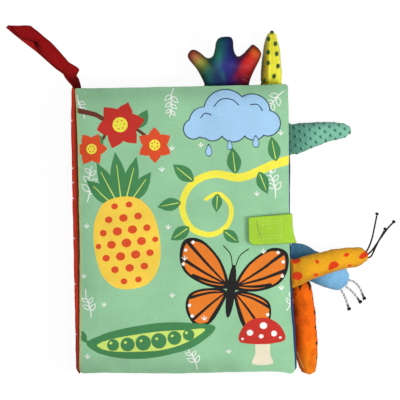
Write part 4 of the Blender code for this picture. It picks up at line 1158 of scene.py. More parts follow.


# Colours of the three-lobed tail: by heading from its root, and by distance out along its side lobes and foot
# These are its dyes, and the brightest stops are partly painted highlights of the satin
FAN_ORIGIN = (35.0, 106.0)
FAN = ((66, (0.07, 0.009, 0.06)), (76, (0.02, 0.018, 0.17)), (87, (0.012, 0.03, 0.13)),
       (96, (0.008, 0.09, 0.11)), (106, (0.03, 0.27, 0.16)), (116, (0.012, 0.12, 0.09)),
       (126, (0.015, 0.05, 0.02)))
LEFT_LOBE = ((12, (0.012, 0.06, 0.05)), (19, (0.02, 0.12, 0.08)), (24, (0.10, 0.18, 0.04)),
             (29, (0.38, 0.34, 0.06)), (33, (0.52, 0.20, 0.07)), (38, (0.40, 0.07, 0.04)))
RIGHT_LOBE = ((12, (0.28, 0.006, 0.010)), (22, (0.46, 0.010, 0.012)), (30, (0.60, 0.028, 0.012)),
              (35, (0.74, 0.12, 0.016)), (40, (0.30, 0.03, 0.008)))
FOOT = ((14, (0.012, 0.06, 0.04)), (20, (0.010, 0.09, 0.10)), (27, (0.012, 0.03, 0.11)),
        (36, (0.02, 0.01, 0.11)), (44, (0.06, 0.005, 0.04)), (50, (0.16, 0.005, 0.012)),
        (57, (0.32, 0.006, 0.008)))
RAINBOW_OUTLINE = (
    (204.5, 88), (204.3, 84), (196.7, 69.6), (188.9, 59.9), (187.4, 55), (189.9, 50.7), (193.8, 49.4),
    (199.6, 52.1), (206.6, 57.5), (212.2, 56), (214.6, 49.2), (215.7, 42.4), (218.5, 37.9), (223.9, 36.3),
    (230.7, 36.7), (233.1, 40.4), (233.6, 47.2), (235.2, 53.1), (238.5, 56.0), (243.4, 53.2), (249.2, 47.2),
    (253.1, 44.3), (258, 47.4), (261.3, 52.1), (261.3, 56), (258.9, 61.8), (253.1, 73.5), (249, 84),
    (248.8, 88))
RAINBOW_SEAM, RAINBOW_ROOT = 24.35, 107.5
RAINBOW_GIVE = (0.3, 0.3,
                1)  # shares of the simulated moves that it takes, so that its outline keeps its size
CREASES = ((19, 127, 29, 119, 1.5, 0.5), (43, 129, 38, 119, 1.5, 0.5), (27, 111, 33, 121, 1.6, 0.3),
           (44, 111, 41, 119, 1.3, 0.3))  # from x, y to x, y, width and depth


def gradient(stops, place):
    """The colour at a place of a table of (place, colour)."""
    places, colours = zip(*stops)
    return tuple(float(np.interp(place, places, channel)) for channel in zip(*colours))


def inflated(name, outline):
    """A cushion over an outline in mm: its height is that of a membrane under even pressure."""
    cell, pitch, up, down, flat_root = 0.5, 0.75, 7.2, 6.6, 0.2
    low_x, low_y = (min(p[axis] for p in outline) - 2 for axis in (0, 1))
    nx, ny = (int((max(p[axis] for p in outline) + 2 - low) / cell) + 1
              for axis, low in ((0, low_x), (1, low_y)))
    places = [[(i, j) for j in range(ny)] for i in range(nx)]
    inside = np.array([[in_polygon(outline, low_x + i * cell, low_y + j * cell) for i, j in row]
                       for row in places])
    dents = np.array([[1.0 + 0.5 * grain(i * 0.07, j * 0.07, 3.0) for i, j in row] for row in places])
    field = np.zeros((nx, ny))
    for _ in range(1500):
        field[1:-1, 1:-1] = (field[2:, 1:-1] + field[:-2, 1:-1] + field[1:-1, 2:] + field[1:-1, :-2]
                             + cell * cell * dents[1:-1, 1:-1]) / 4
        field *= inside
    top = field.max()

    count, rim = len(outline), np.array(outline)
    points = [Vector(p) for p in outline] + inset(outline, 0.35) + inset(outline, 0.8)
    for i in range(2, nx * 2 // 3):
        for j in range(2, ny * 2 // 3):
            x, y = low_x + i * pitch, low_y + (j + 0.5 * (i % 2)) * pitch
            if in_polygon(outline, x, y) and np.hypot(rim[:, 0] - x, rim[:, 1] - y).min() > 1.2:
                points.append(Vector((x, y)))
    edges = [(k, (k + 1) % count) for k in range(count)]
    verts, _, tris, _, _, _ = delaunay_2d_cdt(points, edges, [], 1, 1e-4)
    bm = bmesh.new()
    for side, size in ((1, up), (-1, down)):
        made = []
        for k, v in enumerate(verts):
            height = math.sqrt(max(between(field, (v.x - low_x) / cell, (v.y - low_y) / cell), 0) / top)
            h = min(height * 4, 1.0) * 0.45 + size * height**0.92 if k >= count else 0.0
            held = flat_root + (1 - flat_root) * step(v.y, RAINBOW_ROOT - 2, RAINBOW_ROOT + 19)
            made.append(bm.verts.new((v.x * MM, v.y * MM, (RAINBOW_SEAM + side * h * held) * MM)))
        for tri in tris:
            bm.faces.new([made[k] for k in tri[::side]])
    bmesh.ops.remove_doubles(bm, verts=bm.verts, dist=1e-6)
    mesh = bpy.data.meshes.new(name)
    bm.to_mesh(mesh)
    bm.free()
    points = [v.co / MM for v in mesh.vertices]
    held = [k for k, p in enumerate(points) if p.y < RAINBOW_ROOT + 3]
    seam = [k for k, p in enumerate(points) if abs(p.z - RAINBOW_SEAM) < 0.02]
    faces = [tuple(f.vertices) for f in mesh.polygons]
    moves = cloth_moves(points, faces, held, seam, pressure=7.0, shrink=0.14, cap=0.9)
    for v, move in zip(mesh.vertices, moves * np.array(RAINBOW_GIVE)):
        v.co += Vector(move) * MM
    return mesh


def rainbow_tail():
    """The stuffed three-lobed tail, dyed in a fan of colours from its root, with painted shade near the seam.
    """
    outline = anticlockwise(curve([at(x, y, 24.3) for x, y in RAINBOW_OUTLINE], 7, closed=True))
    rim = np.array(outline)

    def crease(x, y, z, normal):
        value = 0.3 * grain(x * 0.13, y * 0.13, z * 0.1 + 2) + 0.14 * grain(x * 0.35, y * 0.35, z * 0.2 + 9)
        for *ends, wide, deep in CREASES:
            d, t = off_segment(x, y, *ends)
            value -= deep * bell(d, 0, wide) * (1 - 0.6 * t)
        return value * min(abs(normal.z) * 2, 1.0)

    def colour(x, y, z):
        drift = 2.5 * grain(x * 0.12, y * 0.12, 1.0)
        dx, dy = x - FAN_ORIGIN[0], y - FAN_ORIGIN[1]
        angle, reach = math.degrees(math.atan2(dy, dx)) + drift, math.hypot(dx, dy) + drift * 0.4
        tone = mix(gradient(FAN, angle), gradient(LEFT_LOBE, reach), step(angle, 121, 131))
        tone = mix(tone, gradient(RIGHT_LOBE, reach), 1 - step(angle, 53, 65))
        tone = mix(tone, (0.026, 0.017, 0.20), 0.85 * bell(x, 33, 7.5) * bell(y, 122, 8))
        tone = mix(gradient(FOOT, x + drift), tone, step(y, 109, 122))
        # Painted shade: darker within a few mm of the outline
        near = float(np.hypot(rim[:, 0] - x, rim[:, 1] - y).min())
        lit = 0.16 + 0.42 * step(near, 0.0, 2.4) + 0.42 * step(near, 2.0, 6.0)
        return tuple(value * lit for value in tone)

    mesh = inflated("rainbow_tail_stuffed", outline)
    displace(mesh, crease)
    cloth = fabric("rainbow_satin", rough=0.42, weave_mm=0.35, weave_um=8, mottle=0.06, sheen=0.0,
                   specular=0.12)
    dress(mesh, "rainbow_tail", colour, cloth, "rainbow_satin")


STRIPED_FLOOR, STRIPED_TOP, STRIPED_LENGTH = 5.1, -41.0, 74.6
STRIPED_LEFT = ((-115.6, 93.0), (-113.6, 88.9), (-107, 85.7), (-99, 83.9), (-80, 82.8), (-60, 82.3),
                (-46, 82.5), (-41, 85.0))
STRIPED_RIGHT = ((-115.6, 95.8), (-113.6, 98.2), (-107, 99.9), (-98.5, 100.7), (-73, 99.9), (-56, 98.8),
                 (-45, 97.4), (-41, 95.0))


def striped_neck(cloth):
    """The gathered end of the striped tail's cloth that is caught in the back cover's seam."""
    columns, rows = 14, 24

    def point(skin, i, j):
        s, t = i / columns, 2 * j / rows - 1
        x = 79.4 + 8.2 * s
        y = -50.5 + t * (5.2 + 1.6 * s) + 0.25 * grain(x * 0.4, t * 2, 3.0)
        fold = 0.35 * math.sin(4 * math.pi * t + 0.8) * (1 - 0.5 * s)
        half = (0.45 + 1.5 * step(s, 0.35, 1.0)) * math.sqrt(max(1 - t**4, 0.02))
        return x, y, 3.4 + 1.7 * step(s, 0.1, 0.9) + fold + skin * half

    mesh = slab("striped_tail_neck", columns + 1, rows + 1, point)
    # Painted shade: darker where the neck goes in under the back cover's edge
    tint(mesh, lambda x, y, z: mix((0.36, 0.05, 0.004), TAIL_ORANGE, step(x, 81.5, 85.5)))
    neck = link(mesh, cloth)
    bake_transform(neck)


def striped_tail():
    (left_y, left_x), (right_y, right_x) = zip(*STRIPED_LEFT), zip(*STRIPED_RIGHT)

    def section(t, angle, extra_at):
        s = 0.6 * t + 0.2 * (1 - math.cos(math.pi * t))  # more rings near both ends
        y = STRIPED_TOP - STRIPED_LENGTH * s
        left, right = (float(pchip(ys, xs, max(y, ys[0])))
                       for ys, xs in ((left_y, left_x), (right_y, right_x)))
        end = min(s, 1 - s)
        wide = (right - left) / 2 * math.sqrt(min(1, max(0.02, end * 40)))
        thick = 4.8 * min(1.0, (wide / 7.2) ** 0.8) * math.sqrt(min(1, max(0.02, end * 14)))
        if extra_at:
            x, z = puffed(angle, wide, thick, 0.3, extra_at(s * STRIPED_LENGTH, angle) * min(wide / 5, 1))
        else:
            x, z = puffed(angle, wide, thick)
        return Vector(((left + right) / 2 + x, y, STRIPED_FLOOR + z))

    mesh = stuffed_mesh("striped_tail_stuffed", section, 160, 84, stuffing(30.0, 0.45, 0.14))
    for v in mesh.vertices:
        v.co.z = max(v.co.z, 0.2 * MM)
    marks = [at(*p, 5)
             for p in ((313.4, 299.1), (314.4, 312.5), (315.3, 327.2), (316.4, 343.0), (317.6, 357.7))]
    wedges = ((*at(299.8, 284.5, 9), 5.0, 2.0), (*at(309.8, 281.5, 9), 7.0, 2.4))
    line = (*at(297.0, 352.0, 8), *at(303.2, 367.6, 8))

    def colour(x, y, z):
        right, left = float(np.interp(y, right_y, right_x)), float(np.interp(y, left_y, left_x))
        across = (x - left) / max(right - left, 1)
        tone = mix(TAIL_ORANGE, (0.97, 0.25, 0.012), step(-y, 84, 110))
        shaded = ((1 - step(across, 0.06, 0.60)) * (0.35 + 0.65 * step(-y, 56, 68))
                  * (1 - 0.35 * step(-y, 88, 104)))
        tone = mix(tone, (0.30, 0.030, 0.002), shaded + 0.35 * step(across, 0.86, 1.0))
        # Random mottle of the plush, and painted shade at the top end under the blue tail
        mottle_and_shade = 0.5 * step(grain(x * 0.16, y * 0.10, 7.0), -0.1, 0.5) + 0.35 * (1 - step(-y, 44, 54))
        tone = mix(tone, (0.50, 0.06, 0.004), mottle_and_shade)
        for mx, my in marks:
            if abs(y - my) < 1.0 + 0.5 * max(across - 0.9, 0) * 8 and across > 0.93:
                return (0.05, 0.025, 0.012)
            if z < STRIPED_FLOOR - 1.5 and abs(y - my) < 1.8 and across > 0.3:
                return BLACK
        for tx, ty, tip, wide in wedges:
            if y > ty - tip and abs(x - tx) < wide * (y - ty + tip) / tip:
                return (0.03, 0.016, 0.01)
        if z > STRIPED_FLOOR and off_segment(x, y, *line)[0] < 0.34:
            return (0.82, 0.42, 0.16)
        return tone

    cloth = fabric("short_pile_orange", rough=0.95, weave_mm=0.7, weave_um=30, mottle=0.2, sheen=0.03,
                   nap=0.18, nap_mm=0.8, specular=0.06)
    striped_neck(cloth)
    dress(mesh, "striped_tail", colour, cloth, "orange_cloth")


# Cords
STRING_DIAMETER, STRAND_DIAMETER = 1.3, 1.8
STRING_ROUTES = (
    ((138.9, -20.2, 26.2), (140.9, -16.6, 26.2), (143.6, -10.2, 21.0), (145.7, -4.0, 10.0), (147.2, 1.4, 4.6),
     (148.4, 6.9, 4.0)),
    ((139.6, -22.6, 26.2), (143.0, -19.6, 26.6), (148.0, -13.2, 22.6), (153.2, -7.0, 12.0),
     (157.2, -2.6, 3.4), (160.8, 0.9, 1.6)),
    ((139.5, -25.3, 25.0), (142.4, -24.0, 24.0), (145.7, -18.6, 17.0), (149.2, -12.8, 7.0),
     (151.6, -9.0, 4.4), (154.1, -4.8, 4.0)))
STRAND_ROUTES = (
    ((118.67, -48.57, 8.54), (121.0, -52.2, 7.8), (123.2, -56.9, 3.2), (125.2, -63.4, 1.9)),
    ((121.94, -46.42, 8.81), (126.2, -49.4, 7.8), (130.0, -53.3, 3.2), (133.6, -58.4, 1.9)),
    ((123.59, -41.54, 8.86), (130.0, -44.0, 7.8), (134.3, -49.0, 3.2), (137.0, -55.6, 1.9)))
STRAND_RINGS, STRAND_SPOKES, STRAND_TWIST = 60, 16, 3.6


def smooth_route(points, pieces):
    """Evenly spaced points on one smooth curve through the route's points, and its length, in mm."""
    knots = [Vector(p) for p in points]
    before = [2 * knots[0] - knots[1]] + knots[:-1]
    after = knots[1:] + [2 * knots[-1] - knots[-2]]
    tangents = [(b - a) / 2 for a, b in zip(before, after)]
    fine = [knots[k] * (2 * t**3 - 3 * t**2 + 1) + tangents[k] * (t**3 - 2 * t**2 + t)
            + knots[k + 1] * (3 * t**2 - 2 * t**3) + tangents[k + 1] * (t**3 - t**2)
            for k in range(len(knots) - 1) for t in (n / 24 for n in range(24))] + [knots[-1]]
    lengths = [0.0]
    for a, b in zip(fine, fine[1:]):
        lengths.append(lengths[-1] + (b - a).length)
    even, index = [], 0
    for n in range(pieces + 1):
        wanted = lengths[-1] * n / pieces
        while index < len(fine) - 2 and lengths[index + 1] < wanted:
            index += 1
        part = (wanted - lengths[index]) / (lengths[index + 1] - lengths[index])
        even.append(fine[index].lerp(fine[index + 1], part))
    return even, lengths[-1]


def tube(name, line, radius, around, twist=0.0, lobe_depth=0.0):
    """A tube along a line in mm; two twisting lobes give it the ridges of a string."""
    points, travelled = [], 0.0
    for k, p in enumerate(line):
        a, b = line[max(k - 1, 0)], line[min(k + 1, len(line) - 1)]
        along = (b - a).normalized()
        across = along.cross(Vector((0, 0, 1) if abs(along.z) < 0.95 else (1, 0, 0))).normalized()
        normal = across.cross(along)
        travelled += (p - line[k - 1]).length if k else 0
        for n in range(around):
            turn = 2 * math.pi * n / around
            reach = radius * (1 + lobe_depth * math.cos(2 * turn + twist * travelled))
            points.append(p + across * (reach * math.cos(turn)) + normal * (reach * math.sin(turn)))
    return mesh_from(name, points, ring_faces(len(line), around))


def knot(name, node, body, line, past, radius, material):
    """An overhand knot just past a line's end: a tight three-lobed loop of string."""
    heading = (line[-1] - line[-2]).normalized()
    turn = Vector((0, 0, 1)).rotation_difference(heading).to_matrix()
    loop = [Vector((math.sin(t) + 2 * math.sin(2 * t), math.cos(t) - 2 * math.cos(2 * t),
                    -math.sin(3 * t) * 1.6))
            for t in (2 * math.pi * k / 60 for k in range(61))]
    placed = [line[-1] + heading * past + turn @ (p * (radius / 4.4)) for p in loop]
    return fit(tube(name, placed, radius * 0.46, 8), material, "black_string", body, node)


def cords():
    """The amber tail's three strings and the blue tail's three twisted strands, with a knot at each end."""
    black = dict(rough=0.7, weave_mm=0.45, weave_um=30, sheen=0.0, specular=0.1)
    string = fabric("waxed_black_string", (0.016, 0.011, 0.010), mottle=0.05, **black)
    knots = fabric("black_knot", (0.014, 0.011, 0.011), mottle=0.1, **black)
    for number, route in enumerate(STRING_ROUTES, start=1):
        line, length = smooth_route(route, 36)
        path = bpy.data.curves.new(f"spotted_tail_cord_{number}", "CURVE")
        path.dimensions = "3D"
        path.bevel_depth = STRING_DIAMETER / 2 * MM
        path.bevel_resolution = 3
        path.use_fill_caps = True
        spline = path.splines.new("POLY")
        spline.points.add(len(line) - 1)
        for spot, point in zip(spline.points, line):
            spot.co = (*(point * MM), 1.0)
        path.materials.append(string)
        cord = bpy.data.objects.new(path.name, path)
        SCENE.collection.objects.link(cord)
        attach(cord, "spotted_tail")
        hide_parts(f"spotted_tail_string_{number}")
        end = knot(f"spotted_tail_cord_knot_{number}", f"spotted_tail_knot_{number}", "spotted_tail", line,
                   1.2, 1.3, knots)
    strand = fabric("twisted_grey_string", rough=0.75, weave_mm=0.4, weave_um=20, mottle=0.06, sheen=0.05,
                    specular=0.15)
    for number, route in enumerate(STRAND_ROUTES, start=1):
        line, length = smooth_route(route, STRAND_RINGS)
        mesh = tube(f"blue_tail_twist_{number}", line, STRAND_DIAMETER / 2 * 0.93, STRAND_SPOKES,
                    STRAND_TWIST, 0.10)
        colours = []
        for k in range(len(mesh.vertices)):
            ring, spoke = divmod(k, STRAND_SPOKES)
            share = ring / STRAND_RINGS
            phase = math.cos(2 * math.pi * spoke / STRAND_SPOKES + STRAND_TWIST / 2 * length * share)
            tone = mix((0.60, 0.61, 0.62), (0.16, 0.16, 0.17), 0.8 * step(phase, 0.2, 0.7))
            colours.append(mix(tone, (0.05, 0.05, 0.05), step(share, 0.78, 0.95)))
        paint(mesh, colours)
        fit(mesh, strand, "grey_twist", "blue_tail", f"blue_tail_strand_{number}")
        knot(f"blue_tail_twist_knot_{number}", f"blue_tail_knot_{number}", "blue_tail", line, 1.4,
             1.45, knots)


# Ribbon: left and right edge in photo pixels, and height in mm, along its lower run, far fold and way back
RIBBON_LOWER = (
    (73.5, 92.0, 81.4, 92.0, 2.8), (72.0, 86.4, 81.0, 86.2, 2.6), (68.9, 82.6, 79.9, 82.0, 2.2),
    (66.0, 79.2, 78.7, 78.5, 1.6), (64.0, 76.0, 76.4, 75.4, 1.1), (62.6, 73.8, 74.5, 73.0, 0.9),
    (54.9, 68.2, 64.0, 62.0, 0.8), (44.7, 59.2, 55.0, 52.0, 0.75), (35.8, 51.5, 46.0, 43.0, 0.75),
    (21.7, 40.7, 33.0, 32.0, 0.75), (11.5, 32.4, 24.0, 28.0, 0.8), (6.9, 28.4, 20.0, 26.2, 1.0))
RIBBON_FOLD = ((6.3, 27.5, 26.0, 25.6, 2.2), (8.2, 25.6, 31.0, 26.1, 3.6))
RIBBON_UPPER = (
    (11.5, 27.6, 32.6, 27.3, 4.4), (15.0, 32.6, 38.3, 31.6, 4.8), (22.0, 38.0, 43.0, 35.8, 4.6),
    (28.0, 40.4, 47.2, 39.2, 4.3), (33.8, 41.6, 51.3, 42.5, 4.0), (36.4, 47.2, 55.8, 47.2, 4.0),
    (40.6, 53.4, 60.1, 52.0, 4.1), (46.6, 59.6, 65.0, 57.6, 4.3), (55.3, 66.6, 69.2, 62.2, 4.7),
    (61.4, 71.2, 76.7, 66.8, 5.2), (65.0, 74.2, 79.3, 69.8, 5.4), (67.0, 75.6, 77.8, 73.2, 4.9),
    (68.2, 77.4, 76.8, 75.6, 4.4), (70.8, 81.2, 79.0, 79.8, 4.2), (73.2, 86.4, 80.8, 86.2, 4.0),
    (74.0, 92.0, 81.2, 92.0, 3.8))
RIBBON_WIDTH, RIBBON_THICKNESS, RIBBON_CELLS = 10.5, 0.42, 26


def ribbon():
    """One doubled strip of satin: it runs out low, folds at its far end and comes back above, twisted."""
    table = RIBBON_LOWER + RIBBON_FOLD + RIBBON_UPPER
    fine = curve([(*at(lx, ly, z), z, *at(rx, ry, z), z + (0.0 if z < 2 else 0.2))
                  for lx, ly, rx, ry, z in table], 7)
    last = len(fine) - 1
    turn_share = (len(RIBBON_LOWER) + 0.5) / (len(table) - 1)

    def part(number):
        """Share of the way at a row of the upper run."""
        return (len(RIBBON_LOWER) + len(RIBBON_FOLD) + number) / (len(table) - 1)

    grid = []
    for r, row in enumerate(fine):
        left, right, share = Vector(row[:3]), Vector(row[3:]), r / last
        upper = step(share, turn_share + 0.02, turn_share + 0.08)
        pinch = bell(share, part(12), 0.05)
        edge = math.sin(math.pi * min(max(share, 0.04), 0.96))
        line = []
        for t in (k / RIBBON_CELLS for k in range(RIBBON_CELLS + 1)):
            p = left.lerp(right, t)
            curl = 0.45 * grain(p.x * 0.10, p.y * 0.10, share * 3)
            buckle = (1.5 * bell(t, 0.30, 0.17) * bell(share, part(3.2), 0.05)
                      - 1.8 * bell(t, 0, 0.16) * bell(share, part(4), 0.05))
            gather = (0.7 * pinch * math.cos(t * 5 * math.pi)
                      + 0.25 * upper * math.cos(t * 3 * math.pi + 4 * share))
            p.z = max(p.z + (curl + buckle * upper + gather) * edge, 0.5)
            line.append(p)
        grid.append(line)

    def point(skin, r, k):
        along = grid[min(r + 1, last)][k] - grid[max(r - 1, 0)][k]
        across = grid[r][min(k + 1, RIBBON_CELLS)] - grid[r][max(k - 1, 0)]
        hem = 1.5 if k in (1, RIBBON_CELLS - 1) else 1.0
        return grid[r][k] + along.cross(across).normalized() * (skin * RIBBON_THICKNESS / 2 * hem)

    def colour(share, t):
        above = share > turn_share
        # Painted shade along the edges, widest on the upper run's left edge
        rim = 1 - step(t, 0.0, 0.12) if above and t < 0.5 else 1 - step(min(t, 1 - t), 0.0, 0.07)
        tone = mix(RIBBON_RED, (0.07, 0.002, 0.002), 0.85 * rim)
        if share < turn_share:
            # Painted light: the lower run is lighter on its exposed left strip
            tone = mix((0.40, 0.009, 0.011), tone, 0.35 * rim + 0.65 * step(t, 0.25, 0.5))
        # Painted shadow under the upper run's buckle; past its pinch the upper run is darker too
        shadow = bell(t, 0.05, 0.17) * bell(share, part(4), 0.045) if above else 0.0
        return mix(tone, (0.02, 0.001, 0.001), max(0.97 * shadow, 0.5 * step(share, part(11.5), part(13))))

    mesh = slab("ribbon_loop_satin", last + 1, RIBBON_CELLS + 1, point)
    paint(mesh,
          2 * [colour(r / last, k / RIBBON_CELLS) for r in range(last + 1) for k in range(RIBBON_CELLS + 1)])
    cloth = fabric("red_satin_ribbon", rough=0.6, weave_mm=0.4, weave_um=22, mottle=0.1, sheen=0.0,
                   specular=0.05)
    piece = fit(mesh, cloth, "red_ribbon", "ribbon_loop", "ribbon_loop")
    middles = [(Vector(row[:3]) + Vector(row[3:])) / 2 for row in fine]


# Closing tab
TAB_X, TAB_Y, TAB_HALF, TAB_END = 82.0, -1.5, 11.2, 49.0
TAB_CELLS, TAB_THICKNESS = 44, 1.25
TAB_OVER = 3.6  # its centre line over the cover's crown
TAB_RISE, TAB_FOLD_X, TAB_FOLD_OUT = 33.0, 75.5, 2.2  # where its bend starts, ends, and how far that leans in
TAB_SPLIT = 24  # the row of its path where the riser ends and the flap begins
LOW_CORNER, HIGH_CORNER = 5.4, 1.5
STITCH_SLANT = math.sin(math.radians(2.6))
STITCH_OVER = 4.35  # the stitches' height over the cover's crown


def cover_crown(x):
    """Height of the cover's crown under the tab's middle."""
    leaf = Leaf(4)
    return leaf.seam + leaf.level(x, TAB_Y)


def tab_path():
    """Centre line of the tab from its foot over the fore edge to its free end: x, z in mm."""
    path = [(TAB_X, z) for z in np.linspace(1.4, TAB_RISE, 40)]
    fold = cover_crown(TAB_FOLD_X) + TAB_OVER
    for a in (math.pi / 2 * k / 10 for k in range(1, 10)):
        path.append((TAB_X - TAB_FOLD_OUT * (1 - math.cos(a)), TAB_RISE + (fold - TAB_RISE) * math.sin(a)))
    for x in np.linspace(TAB_X - TAB_FOLD_OUT - 0.4, TAB_END, 64):
        level = cover_crown(x) + TAB_OVER
        path.append((x, max(level, fold) if x > TAB_FOLD_X else level))
    return path


def tab_strip(name, path, start, end):
    """A woven strap along part of the path, with rounded edges and corners, soft waves and a flared foot."""
    def round_in(gap, radius, least=0.0):
        """1 well inside an edge, and down along a quarter circle towards it."""
        return math.sqrt(max(1 - (max(radius - gap, 0) / radius) ** 2, least))

    def point(skin, r, k):
        (x, z), (ax, az) = path[start + r], path[max(start + r - 1, 0)]
        bx, bz = path[min(start + r + 1, len(path) - 1)]
        size = math.hypot(bx - ax, bz - az)
        nx, nz = -(bz - az) / size, (bx - ax) / size
        over = step(z, 28, 34)
        end_gap = x - TAB_END if z > 30 else 99.0
        low = -TAB_HALF + LOW_CORNER * (1 - round_in(end_gap, LOW_CORNER))
        top = TAB_HALF - HIGH_CORNER * (1 - round_in(end_gap, HIGH_CORNER))
        t = low + (top - low) * k / TAB_CELLS
        side_gap = min(t - low, top - t)
        edge = round_in(side_gap, 0.6)
        if end == len(path):
            edge *= round_in(x - TAB_END, 0.7, 0.04)
        y = TAB_Y + t
        skew = math.sin(math.radians(1.9 + 1.5 * (t / TAB_HALF + 1) / 2)) * (x - 83.0)
        flare = 2.9 * max((1 - t / TAB_HALF) / 2, 0.0) ** 2.6 * step(x, 66, 80)
        rim = 0.16 * bell(side_gap, 1.0, 0.5) if skin > 0 else 0
        offset = skin * (TAB_THICKNESS / 2 + rim) * edge + 0.2 * grain(x * 0.14, y * 0.14, z * 0.1)
        return x + flare - nx * offset, y + (skew if over > 0.5 else skew * over), z - nz * offset

    return slab(name, end - start, TAB_CELLS + 1, point, weld=True)


def stitch_row(points, step_mm, length_mm):
    """Little oval stitches along a line of points in mm: returns points and faces."""
    radius, rings, spokes = 0.24, 5, 6
    verts, faces = [], []
    for a, b in zip(points, points[1:]):
        a, b = Vector(a), Vector(b)
        count = max(1, round((b - a).length / step_mm))
        along = (b - a).normalized()
        across = along.cross(Vector((0, 0, 1))).normalized()
        for n in range(count):
            middle = a.lerp(b, (n + 0.5) / count)
            faces += [tuple(len(verts) + k for k in face) for face in ring_faces(rings, spokes)]
            for r in range(rings):
                t = (r / (rings - 1) - 0.5) * length_mm
                fat = radius * math.sqrt(max(1 - (2 * t / (length_mm * 1.02)) ** 2, 0.02))
                for turn in (2 * math.pi * k / spokes for k in range(spokes)):
                    lift = Vector((0, 0, fat * math.sin(turn)))
                    verts.append(middle + along * t + across * (fat * math.cos(turn)) + lift)
    return verts, faces


def patch(name, node, body, low, high, hooks):
    """A hook or loop patch that follows the cover's crown, with its nap of small loops."""
    box_low, box_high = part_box(node)
    nx, ny = 30, 22

    def point(skin, i, j):
        x = (box_low[0] + (box_high[0] - box_low[0]) * i / nx) / MM
        y = (box_low[1] + (box_high[1] - box_low[1]) * j / ny) / MM
        soft = 0.25 if i in (0, nx) or j in (0, ny) else 0.0
        return x, y, cover_crown(x) + (high - soft if skin > 0 else low + soft)

    cloth = fabric(name + "_nap", (0.36, 0.62, 0.05), rough=0.9, weave_mm=0.9 if hooks else 0.6,
                   weave_um=170 if hooks else 60, mottle=0.16, nap=0.0 if hooks else 0.3, nap_mm=0.5)
    fit(slab(name, nx + 1, ny + 1, point), cloth, "lime_patch", body, node)


def tab():
    path = tab_path()
    cloth = fabric("lime_tab_weave", (0.39, 0.66, 0.046), rough=0.9, weave_mm=0.95, weave_um=110, mottle=0.10,
                   sheen=0.12, nap=0.06, nap_mm=0.4, specular=0.15)
    riser = link(tab_strip("closure_tab_strap_riser", path, 0, TAB_SPLIT + 1), cloth)
    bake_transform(riser)
    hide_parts("closure_tab_riser")
    flap = link(tab_strip("closure_tab_strap_flap", path, TAB_SPLIT, len(path)), cloth)
    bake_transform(flap)
    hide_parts("closure_tab_flap")
    for kind, colour, step_mm, length_mm, lines in (
            ("box", (0.62, 0.85, 0.22), 2.1, 1.6, (
                ((57.0, 4.6), (74.0, 4.6), (74.0, -8.6), (57.0, -8.6), (57.0, 4.6)),
                ((59.2, 2.4), (71.8, 2.4), (71.8, -6.4), (59.2, -6.4), (59.2, 2.4)))),
            ("bar", (0.78, 0.84, 0.16), 1.5, 1.0, (((54.4, 5.6), (57.8, -9.0)),)),
            # Painted shade: a dark row beside the bar stitches stands for the shade in their needle holes
            ("needle_hole_shade", (0.10, 0.17, 0.008), 1.5, 1.0, (((55.1, 5.4), (58.5, -9.2)),))):
        verts, faces = [], []
        for corners in lines:
            line = [(x, y + STITCH_SLANT * (x - 83.0) + 0.5, cover_crown(x) + STITCH_OVER)
                    for x, y in corners]
            more_verts, more_faces = stitch_row(line, step_mm, length_mm)
            faces += [tuple(k + len(verts) for k in face) for face in more_faces]
            verts += more_verts
        thread = fabric(f"lime_{kind}_thread", colour, rough=0.7, weave_mm=0.3, weave_um=20, mottle=0.1,
                        sheen=0.05)
        stitches = link(mesh_from(f"closure_tab_{kind}_stitch", verts, faces), thread)
        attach(stitches, "closure_flap")
    patch("closure_loop_nap", "closure_loop_patch", "front_cover", 0.32, 1.28, False)
    patch("closure_hook_nap", "closure_hook_patch", "closure_flap", 1.62, 2.58, True)


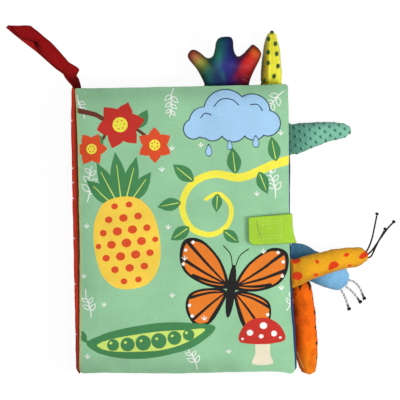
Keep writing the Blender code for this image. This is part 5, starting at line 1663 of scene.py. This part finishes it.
# Stage, light and camera
def stage():
    """A floor that the camera sees as nearly white, while it lights the book like plain paper."""
    half, level = 3.0, -0.0002
    mesh = bpy.data.meshes.new("floor")
    corners = [(-half, -half, level), (half, -half, level), (half, half, level), (-half, half, level)]
    mesh.from_pydata(corners, [], [(0, 1, 2, 3)])
    floor = bpy.data.objects.new("floor", mesh)
    SCENE.collection.objects.link(floor)
    paper = bpy.data.materials.new("floor_paper")
    paper.use_nodes = True
    tree = paper.node_tree
    tree.nodes.clear()
    rays = put(tree, "ShaderNodeLightPath").outputs
    seen = maths(tree, "MAXIMUM", rays["Is Camera Ray"],
                 maths(tree, "MAXIMUM", rays["Is Glossy Ray"], rays["Is Transmission Ray"]))
    plain = put(tree, "ShaderNodeBsdfDiffuse", {"Color": (0.8, 0.8, 0.8, 1)}).outputs[0]
    dim = put(tree, "ShaderNodeBsdfDiffuse", {"Color": (0.13, 0.13, 0.13, 1)}).outputs[0]
    glow = put(tree, "ShaderNodeEmission", {"Color": (1, 1, 1, 1), "Strength": 0.91}).outputs[0]
    lit = put(tree, "ShaderNodeAddShader", {0: dim, 1: glow}).outputs[0]
    mixed = put(tree, "ShaderNodeMixShader", {0: seen, 1: plain, 2: lit}).outputs[0]
    put(tree, "ShaderNodeOutputMaterial", {0: mixed})
    mesh.materials.append(paper)


def light(name, place, size, power):
    """A round lamp aimed at the book."""
    data = bpy.data.lights.new(name, "AREA")
    data.shape = "DISK"
    data.size = size
    data.energy = power
    lamp = bpy.data.objects.new(name, data)
    lamp.location = place
    lamp.rotation_euler = (Vector((0, 0, 0.02)) - Vector(place)).to_track_quat("-Z", "Y").to_euler()
    SCENE.collection.objects.link(lamp)


def studio():
    world = bpy.data.worlds.new("studio")
    world.use_nodes = True
    back = world.node_tree.nodes["Background"]
    back.inputs[0].default_value = (1, 1, 1, 1)
    back.inputs[1].default_value = 0.30
    SCENE.world = world
    light("overhead", (0.1, 0.0, 1.6), 1.2, 8.2)
    light("key", (0.52, -0.10, 0.62), 0.3, 3.2)
    light("fill", (-0.9, -0.3, 1.2), 0.9, 2.4)
    SCENE.view_settings.view_transform = "Standard"


def camera():
    data = bpy.data.cameras.new("camera")
    data.lens, data.sensor_width, data.clip_end = LENS, SENSOR, 20
    eye = bpy.data.objects.new("camera", data)
    x, y = at(IMAGE_PIXELS / 2, IMAGE_PIXELS / 2)
    eye.location = (x * MM, y * MM, (COVER_LEVEL + CAMERA_HEIGHT) * MM)
    eye.rotation_euler = (0, 0, -PHOTO_TURN)
    SCENE.collection.objects.link(eye)
    SCENE.camera = eye


camera()
cords()
stage()
studio()
make_leaves()
make_spine()
tab()
ribbon()
rainbow_tail()
speckled_tail()
dotted_tail()
spotted_tail()
blue_tail()
striped_tail()
